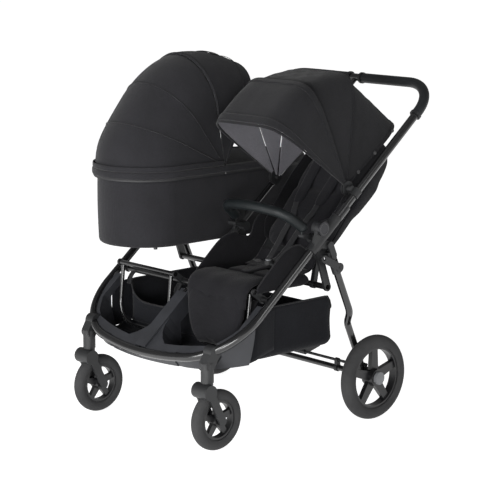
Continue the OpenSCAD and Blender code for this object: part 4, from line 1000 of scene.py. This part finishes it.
def back_wing(name, side):
    """Soft side of the backrest, a low bolster between its pad and the canopy."""
    def point(s, u):
        puff = 1.4 * math.sin(math.pi * u) + 0.7 * math.sin(s / 21.0 + 2 * u) * u
        n = WING_BASE + (float(np.interp(s, *WING_HEIGHT)) - WING_BASE) * u
        return back_point(side * (130.5 + puff), s, n), back_point(side * (128.0 + 0.4 * puff), s, n)

    faces = two_faces(np.linspace(96.0, 476.0, 31), np.linspace(0, 1, 15), point)
    shell(name, *faces, CLOTH_SEAT, "backrest")


side_cloth("seat_side_inner", 37.5, -1, INNER_LOW)
side_cloth("seat_side_outer", 314.5, 1, OUTER_LOW)
knee_cover()
seat_fold()
back_cover()
for side, tag in SIDES:
    back_wing("back_wing_" + tag, side)

# Harness. Paths are points for the right side, mirrored for the left

UP = np.array([0.0, 0.0, 1.0])
BACK_N = np.array([0.0, -math.sin(math.radians(BACK_SLOPE)), math.cos(math.radians(BACK_SLOPE))])
WEB_WIDE = 24
WEB_THICK = 1.6
PAD_WIDE = 44
SHOULDER_PAD = ((44, 212, 92.5), (48, 280, 93.5), (53, 350, 93.5), (58, 415, 92.0))
SHOULDER_WEB = ((44, 214, 95.0), (40, 190, 92.0), (32, 168, 91.0), (30, 150, 89.5))
SHOULDER_TOP = ((58, 412, 95.0), (60, 432, 92.0), (61, 446, 86.0))
BELT = ((13, 310, 501), (18, 330, 512), (24, 362, 542), (28, 396, 580))
BELT_TOP = (30, 156, 90.0)
CROTCH_PAD = ((0, -52, 42.5), (0, -20, 44.0), (0, 20, 45.0), (0, 66, 45.5))
WAIST_WEB = ((26, 50, 54.0), (52, 62, 50.0), (86, 84, 46.0), (112, 104, 41.5))


def strap(name, points, width, thick, normal, mat, body, count=40, puff=0.0):
    """Flat webbing or a padded strap along points; normal is the direction its face looks."""
    path = smooth_path(points, count)
    tangent = np.gradient(path, axis=0)
    top = []
    low = []
    for w in np.linspace(-1, 1, 9):
        edge = rounded(w, 6)
        flat = 0.35 + 0.65 * edge
        a = []
        b = []
        for u, q, d in zip(np.linspace(0, 1, count), path, tangent):
            d = d / np.linalg.norm(d)
            side = np.cross(d, normal)
            side /= np.linalg.norm(side)
            face = np.cross(side, d)
            end = math.sqrt(max(0.02, 1 - abs(2 * u - 1) ** 8)) if puff > 0 else 1.0
            across = q + side * w * width / 2 * end
            a.append(across + face * (thick / 2 + puff * edge * end) * flat)
            b.append(across - face * thick / 2 * flat)
        top.append(a)
        low.append(b)
    return shell(name, top, low, mat, body, "webbing")


def on_back(points, side):
    return [back_point(side * x, s, n) for x, s, n in points]


def on_seat(points, side):
    return [tuple(to_world(np.array([side * x, y, z]), ON_SEAT)) for x, y, z in points]


def web(name, points, normal, body):
    return strap(name, points, WEB_WIDE, WEB_THICK, normal, WEBBING, body)


for side, tag in SIDES:
    path = on_back(SHOULDER_PAD, side)
    ob = strap("shoulder_pad_" + tag, path, PAD_WIDE, 3.0, BACK_N, CLOTH_SEAT, "backrest", puff=3.0)
    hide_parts("shoulder_harness")
    web("shoulder_webbing_" + tag, on_back(SHOULDER_WEB, side), BACK_N, "backrest")
    web("shoulder_webbing_top_" + tag, on_back(SHOULDER_TOP, side), BACK_N, "backrest")
for side, tag in SIDES:
    belt = [(SEAT_X + side * x, y, z) for x, y, z in BELT] + on_back([BELT_TOP], side)
    ob = web("harness_strap_" + tag, belt, BACK_N, None)
    place(SEAT_X, 322, 508)
    place(SEAT_X, 400, 584)
    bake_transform(ob)
ob = strap("crotch_pad", on_seat(CROTCH_PAD, 1), PAD_WIDE, 4.0, UP, CLOTH_SEAT, "frame", puff=2.5)
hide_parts("crotch_strap")
for side, tag in SIDES:
    web("waist_webbing_" + tag, on_seat(WAIST_WEB, side), UP, "frame")

# Basket: an open bag hung under the seats

BASKET_HALF = 298.5
BASKET_FRONT = 131.0
BASKET_REAR = 468.5
BASKET_CORNER = 42.0
BASKET_COLS = 140
BASKET_RIM = 394.0
BASKET_BEND = 266.0
SIDE_ROWS = 14
FLAP_PLAN = ((316.6, 89), (316.6, 110), (316.0, 128), (312.0, 152), (305.5, 180), (300.6, 206))
FLAP_LOW = ((89, 116, 131, 160, 206), (249.5, 251.0, 256.0, 261.0, 266.0))
LIP = ((86, 248), (98, 247.5), (116, 251), (127, 260), (132, 270))
LIP_HALF = 315
FLAP_COLS = 40


def basket_ring(inset, z, sag):
    """One level of the bag, a rounded rectangle whose rim sags at the sides, the mouth and the rear."""
    rad = max(6.0, BASKET_CORNER - inset)
    hx = BASKET_HALF - inset - rad
    front = BASKET_FRONT + inset + rad
    rear = BASKET_REAR - inset - rad
    pts = []
    for cx, cy, start in ((hx, front, -90), (hx, rear, 0), (-hx, rear, 90), (-hx, front, 180)):
        for a in np.linspace(start, start + 90, 16):
            dx, dy = on_circle(rad, a)
            pts.append((cx + dx, cy + dy))
    pts.append(pts[0])
    out = []
    for x, y in resample(pts, BASKET_COLS + 1)[:-1]:
        along = math.sin(math.pi * (y - BASKET_FRONT) / (BASKET_REAR - BASKET_FRONT))
        slack = (0.5 + 0.5 * math.cos(x / 95.0)) * along
        mouth = clamp(1 - abs((x + 165.0) / 118.0) ** 4) * clamp((BASKET_FRONT + 40.0 - y) / 30.0)
        back = clamp((y - BASKET_REAR + 44.0) / 40.0)
        out.append((x, y, z - sag * (slack + 7.5 * mouth + 5.6 * back * back * (3 - 2 * back))))
    return np.array(out)


def basket_bag():
    levels = []
    for u in np.linspace(0, 1, SIDE_ROWS):
        z = BASKET_RIM + (BASKET_BEND - BASKET_RIM) * u
        levels.append((1.0 + 3.0 * math.sin(math.pi * u), z, 8.0 * (1 - u)))
    for a in np.linspace(10, 90, 8):
        c, s = on_circle(1.0, a)
        levels.append((1.0 + 26.0 * (1 - c), BASKET_BEND - 27.0 * s, 0.0))
    outer = np.array([basket_ring(*lv) for lv in levels])
    outer += ripple(outer, 1.0, 60.0, 11)[..., None] * np.array([0.4, 0.4, 0.1])
    inner = []
    for k, (inset, z, sag) in enumerate(levels):
        inner.append(basket_ring(inset + 2.2, z + (2.0 if k >= SIDE_ROWS else 0.0), sag))
    ob = shell("basket_bag", outer, inner, MESH_CLOTH, "frame", wrap=True)
    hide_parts("basket")
    mid = np.array([0.0, (BASKET_FRONT + BASKET_REAR) / 2, 0.0])
    low = []
    for k in np.linspace(1.0, 0.03, 12):
        q = mid + (outer[-1] - mid) * k
        q[:, 2] = 239.0 - 2.0 * (1 - k)
        low.append(q)
    shell("basket_floor_cloth", np.array(low) + UP * 2.0, low, MESH_CLOTH, "frame", wrap=True)
    tube("basket_hem", outer[0] + UP, 2.6, WEBBING, "frame", "webbing", closed=True, sides=8)


def basket_flap(name, side):
    """Cheek of the front pocket, from the bag forward to the tray."""
    plan = smooth_path(FLAP_PLAN, FLAP_COLS)

    def point(v, k):
        x, y = plan[k]
        low = float(np.interp(y, *FLAP_LOW))
        high = min(392.0, tube_line_z(y) - 27.5)
        z = low + (high - low) * v
        wavy = x + 0.8 * math.sin(5 * k / (FLAP_COLS - 1) + v * 3)
        return (side * wavy, y, z), (side * (x - 1.6), y + 0.9, z)

    shell(name, *two_faces(np.linspace(0, 1, 12), range(FLAP_COLS), point), MESH_CLOTH, "frame")


def basket_lip():
    """Floor of the front pocket, from the bag forward under the tray."""
    rows = []
    for u, (y, z) in zip(np.linspace(0, 1, 20), smooth_path(LIP, 20)):
        loose = 0.9 * math.sin(math.pi * u)
        rows.append([(x, y, z + loose * math.sin(x / 41.0)) for x in np.linspace(-LIP_HALF, LIP_HALF, 41)])
    rows = np.array(rows)
    shell("basket_lip", rows + UP, rows - UP, MESH_CLOTH, "frame")


basket_bag()
for side, tag in SIDES:
    basket_flap("basket_flap_" + tag, side)
basket_lip()
for x in (-283.0, -55.0, 55.0, 283.0):
    strap("basket_strap_%d" % (x + 500), [(x, 131.5, 384), (x, 133, 398), (x, 142, 412), (x, 149, 418.2)],
          22, 1.8, (0, -1.0, 0.3), WEBBING, "frame", count=16)

# Rings on the hubs, press studs on the canopy, and seams on the grips

FOLD_PIN = plane_point(0, 28)
HUB_FACE = 372.2
STUD_SIDES = 24
STUD = ((6.0, 0.0), (5.8, 1.2), (4.4, 1.9), (2.4, 1.6), (0.2, 1.7))
GRIP_BEND_R = 120.0
GRIP_BEND = (230.0, 520.0)


def ring_path(x, y, z, radius, count):
    a = np.linspace(0, 2 * math.pi, count, endpoint=False)
    return np.stack([np.full(count, x), y + radius * np.cos(a), z + radius * np.sin(a)], 1)


def stud(name, inset, angle, share):
    """A press stud on the side of the canopy, at a share of the bow's length."""
    x, r = canopy_arch(inset, 241, CANOPY.foot)[int(share * 240)]
    px, py, pz = fan_points(CANOPY, x, r, angle)
    rings = np.array([ring_path(px + h, py, pz, radius, STUD_SIDES) for radius, h in STUD])
    faces = capped_rings(len(STUD), STUD_SIDES)
    make(name, places(rings.reshape(-1, 3)), faces, [SNAP], "handle_frame", "cap_grey")


def grip_seam(side, tag):
    path = [(x, GRIP_BEND[1] + GRIP_BEND_R) for x in np.linspace(34, GRIP_BEND[0], 24)]
    for a in np.linspace(90, 0, 16)[1:]:
        dx, ds = on_circle(GRIP_BEND_R, a)
        path.append((GRIP_BEND[0] + dx, GRIP_BEND[1] + ds))
    out = [(side * x, *plane_point(s, -15.5)) for x, s in path]
    tube("grip_seam_" + tag, resample(out, 80), 0.9, THREAD, "handle_frame", "leatherette", sides=6)


for side, tag in SIDES[::-1]:
    path = ring_path(side * HUB_FACE, *FOLD_PIN, 16.0, 28)
    tube("hub_ring_" + tag, path, 1.0, SNAP, "frame", "pin_steel", closed=True, sides=8)
for tag, share in (("low", 0.078), ("mid", 0.175), ("high", 0.295)):
    stud("canopy_snap_" + tag, 13.2, 35.7, share)
for side, tag in SIDES[::-1]:
    grip_seam(side, tag)

# Stage: pale floor, soft light and the camera

WHITE = (1, 1, 1, 1)
FLOOR_HALF = 30.0
FLOOR_GLOW = 0.88
SKY_LOW = 0.42
SKY_HIGH = 0.08

scene = bpy.context.scene
scene.view_settings.view_transform = "Standard"


def mix_shaders(t, share, a, b, out):
    """Shows shader a, and b where share is 1."""
    mix = t.nodes.new("ShaderNodeMixShader")
    t.links.new(share, mix.inputs["Fac"])
    t.links.new(a, mix.inputs[1])
    t.links.new(b, mix.inputs[2])
    t.links.new(mix.outputs["Shader"], t.nodes[out].inputs["Surface"])


def stage_floor():
    me = bpy.data.meshes.new("floor")
    s = FLOOR_HALF
    me.from_pydata([(-s, -s, 0), (s, -s, 0), (s, s, 0), (-s, s, 0)], [], [(0, 1, 2, 3)])
    ob = bpy.data.objects.new("floor", me)
    scene.collection.objects.link(ob)
    m, t, b = material("floor_pale", (0.86, 0.86, 0.86), 0.7)
    b.inputs["Specular IOR Level"].default_value = 0.1
    path = t.nodes.new("ShaderNodeLightPath")
    glow = t.nodes.new("ShaderNodeEmission")
    glow.inputs["Color"].default_value = WHITE
    glow.inputs["Strength"].default_value = FLOOR_GLOW
    add = t.nodes.new("ShaderNodeAddShader")
    t.links.new(b.outputs["BSDF"], add.inputs[0])
    t.links.new(glow.outputs["Emission"], add.inputs[1])
    seen = maths(t, "MAXIMUM", path.outputs["Is Camera Ray"], path.outputs["Is Glossy Ray"])
    mix_shaders(t, seen, b.outputs["BSDF"], add.outputs["Shader"], "Material Output")
    me.materials.append(m)


def studio():
    """A world that lights the object more from below than from above, and looks white."""
    world = bpy.data.worlds.new("studio")
    scene.world = world
    world.use_nodes = True
    t = world.node_tree
    light = t.nodes["Background"]
    light.inputs["Color"].default_value = WHITE
    look = t.nodes.new("ShaderNodeTexCoord")
    aim = t.nodes.new("ShaderNodeSeparateXYZ")
    t.links.new(look.outputs["Generated"], aim.inputs[0])
    t.links.new(spread(t, aim.outputs["Z"], SKY_LOW, SKY_HIGH), light.inputs["Strength"])
    white = t.nodes.new("ShaderNodeBackground")
    white.inputs["Color"].default_value = WHITE
    white.inputs["Strength"].default_value = 1.0
    path = t.nodes.new("ShaderNodeLightPath")
    seen = maths(t, "MAXIMUM", path.outputs["Is Camera Ray"], path.outputs["Is Transmission Ray"])
    mix_shaders(t, seen, light.outputs["Background"], white.outputs["Background"], "World Output")


def area_light(name, at, target, size, power):
    d = bpy.data.lights.new(name, "AREA")
    d.shape = "RECTANGLE"
    d.size, d.size_y = size
    d.energy = power
    o = bpy.data.objects.new(name, d)
    scene.collection.objects.link(o)
    o.location = at
    o.rotation_euler = (Vector(target) - Vector(at)).to_track_quat("-Z", "Y").to_euler()


stage_floor()
studio()
area_light("key_light", (0.2, -3.6, 1.2), (0, 0, 0.6), (2.2, 1.6), 104)
area_light("top_light", (0.4, 0.0, 3.4), (0, 0, 0.6), (2.4, 2.4), 5)
area_light("side_light", (3.2, 0.2, 1.6), (0, 0.1, 0.6), (0.7, 2.4), 18)
area_light("low_light", (2.4, -3.0, 0.5), (0, 0, 0.4), (1.6, 0.8), 52)

IMAGE_WIDTH = 500.0
FOCAL_PIXELS = 1732.0
SENSOR = 36.0
CAMERA_AT = (3886.0, -3173.0, 1510.0)
CAMERA_RIGHT = Vector((0.6753, 0.7375, 0.0))
CAMERA_UP = Vector((-0.1391, 0.1274, 0.9821))

camera_data = bpy.data.cameras.new("camera")
camera = bpy.data.objects.new("camera", camera_data)
scene.collection.objects.link(camera)
camera_data.sensor_fit = "HORIZONTAL"
camera_data.sensor_width = SENSOR
camera_data.lens = FOCAL_PIXELS * SENSOR / IMAGE_WIDTH
camera_data.clip_end = 100.0
turned = Matrix((CAMERA_RIGHT, CAMERA_UP, CAMERA_RIGHT.cross(CAMERA_UP))).transposed().to_4x4()
camera.matrix_world = Matrix.Translation(Vector(place(*CAMERA_AT))) @ turned
scene.camera = camera
